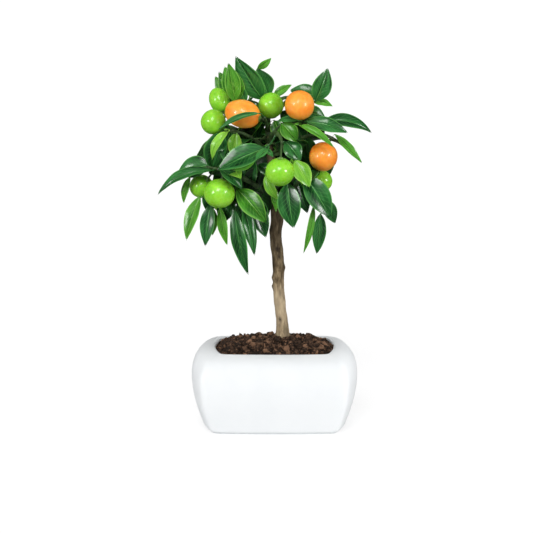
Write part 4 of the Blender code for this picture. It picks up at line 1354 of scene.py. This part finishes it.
def make_floor():
    """A plain pale floor, bright to the eye but throwing little light back up."""
    bpy.ops.mesh.primitive_plane_add(size=12)
    floor = added("studio_floor")
    finish = Finish("studio_floor", 0.8, Specular_IOR_Level=0.0)
    finish.colour(finish.mix(finish.noise(3.0), (0.28, 0.28, 0.28), (0.3, 0.3, 0.3)))
    finish.shader.inputs["Emission Color"].default_value = (1, 1, 1, 1)
    seen = finish.add("LightPath").outputs["Is Camera Ray"]
    finish.tree.links.new(finish.between(seen, 0.0, 1.0, 0.0, FLOOR_GLOW),
                          finish.shader.inputs["Emission Strength"])
    floor.data.materials.append(finish.material)
    floor.visible_glossy = False
    floor.visible_shadow = False


def softbox(name, azimuth, elevation, spread, strength, shows, lights):
    """A far, soft light: where it stands seen from the tree, its angular size and strength."""
    light = bpy.data.lights.new(name, "SUN")
    light.angle = math.radians(spread)
    light.energy = strength
    lamp = linked(name, light)
    lamp.rotation_euler = (math.radians(90 - elevation), 0, math.radians(azimuth))
    lamp.visible_glossy = shows
    lamp.light_linking.receiver_collection = lights


def lighting_group(name, pot, state):
    """A group for a light that only the pot takes, or that all but the pot takes."""
    group = bpy.data.collections.new(name)
    group.objects.link(pot)
    group.collection_objects[0].light_linking.link_state = state
    return group


def make_studio(pot):
    """White surroundings, lights in front, to each side and overhead, and cards for the pot."""
    scene = bpy.context.scene
    scene.view_settings.view_transform = "Standard"
    world = bpy.data.worlds.new("studio_world")
    scene.world = world
    world.use_nodes = True
    shading = world.node_tree
    backdrop = shading.nodes["Background"]
    backdrop.inputs["Color"].default_value = (1, 1, 1, 1)
    seen = shading.nodes.new("ShaderNodeLightPath")
    level = shading.nodes.new("ShaderNodeMapRange")
    level.inputs["To Min"].default_value = FAINT_SKY
    level.inputs["To Max"].default_value = 1.0
    shading.links.new(seen.outputs["Is Camera Ray"], level.inputs["Value"])
    shading.links.new(level.outputs[0], backdrop.inputs["Strength"])
    for group, state, lights in (("tree_lights", "EXCLUDE", TREE_LIGHTS),
                                 ("pot_cards", "INCLUDE", POT_CARDS)):
        members = lighting_group(group, pot, state)
        for row in lights:
            softbox(*row, members)


LENS = 600.0
SENSOR = 36.0
VIEW_WIDTH = 0.533          # what the picture's width takes in at the tree's trunk
VIEW_RISE = 12.0            # the camera's height above level, in degrees
VIEW_AIM = (-0.008, 0.0, 0.161)


def make_camera():
    """A long lens, a little above level, in front of the tree."""
    data = bpy.data.cameras.new("camera")
    data.lens = LENS
    data.sensor_width = SENSOR
    camera = linked("camera", data)
    away = VIEW_WIDTH * LENS / SENSOR
    rise = math.radians(VIEW_RISE)
    camera.location = Vector(VIEW_AIM) + Vector((0, -math.cos(rise), math.sin(rise))) * away
    camera.rotation_euler = (math.radians(90 - VIEW_RISE), 0, 0)
    data.clip_end = 100
    bpy.context.scene.camera = camera


make_camera()
clear_selection()
make_floor()
make_studio(make_pot())
make_soil()
make_trunk()
make_leaves()
joint_places = [nearest_stem(v)[0] for v in
                [cad_leaf(n).start for n in CAD_LEAVES]
                + [np.array(row[0]) * MM for row in MORE_LEAVES.values()]]
make_branches(joint_places)
make_fruits()
bpy.data.objects.remove(leaf_master)
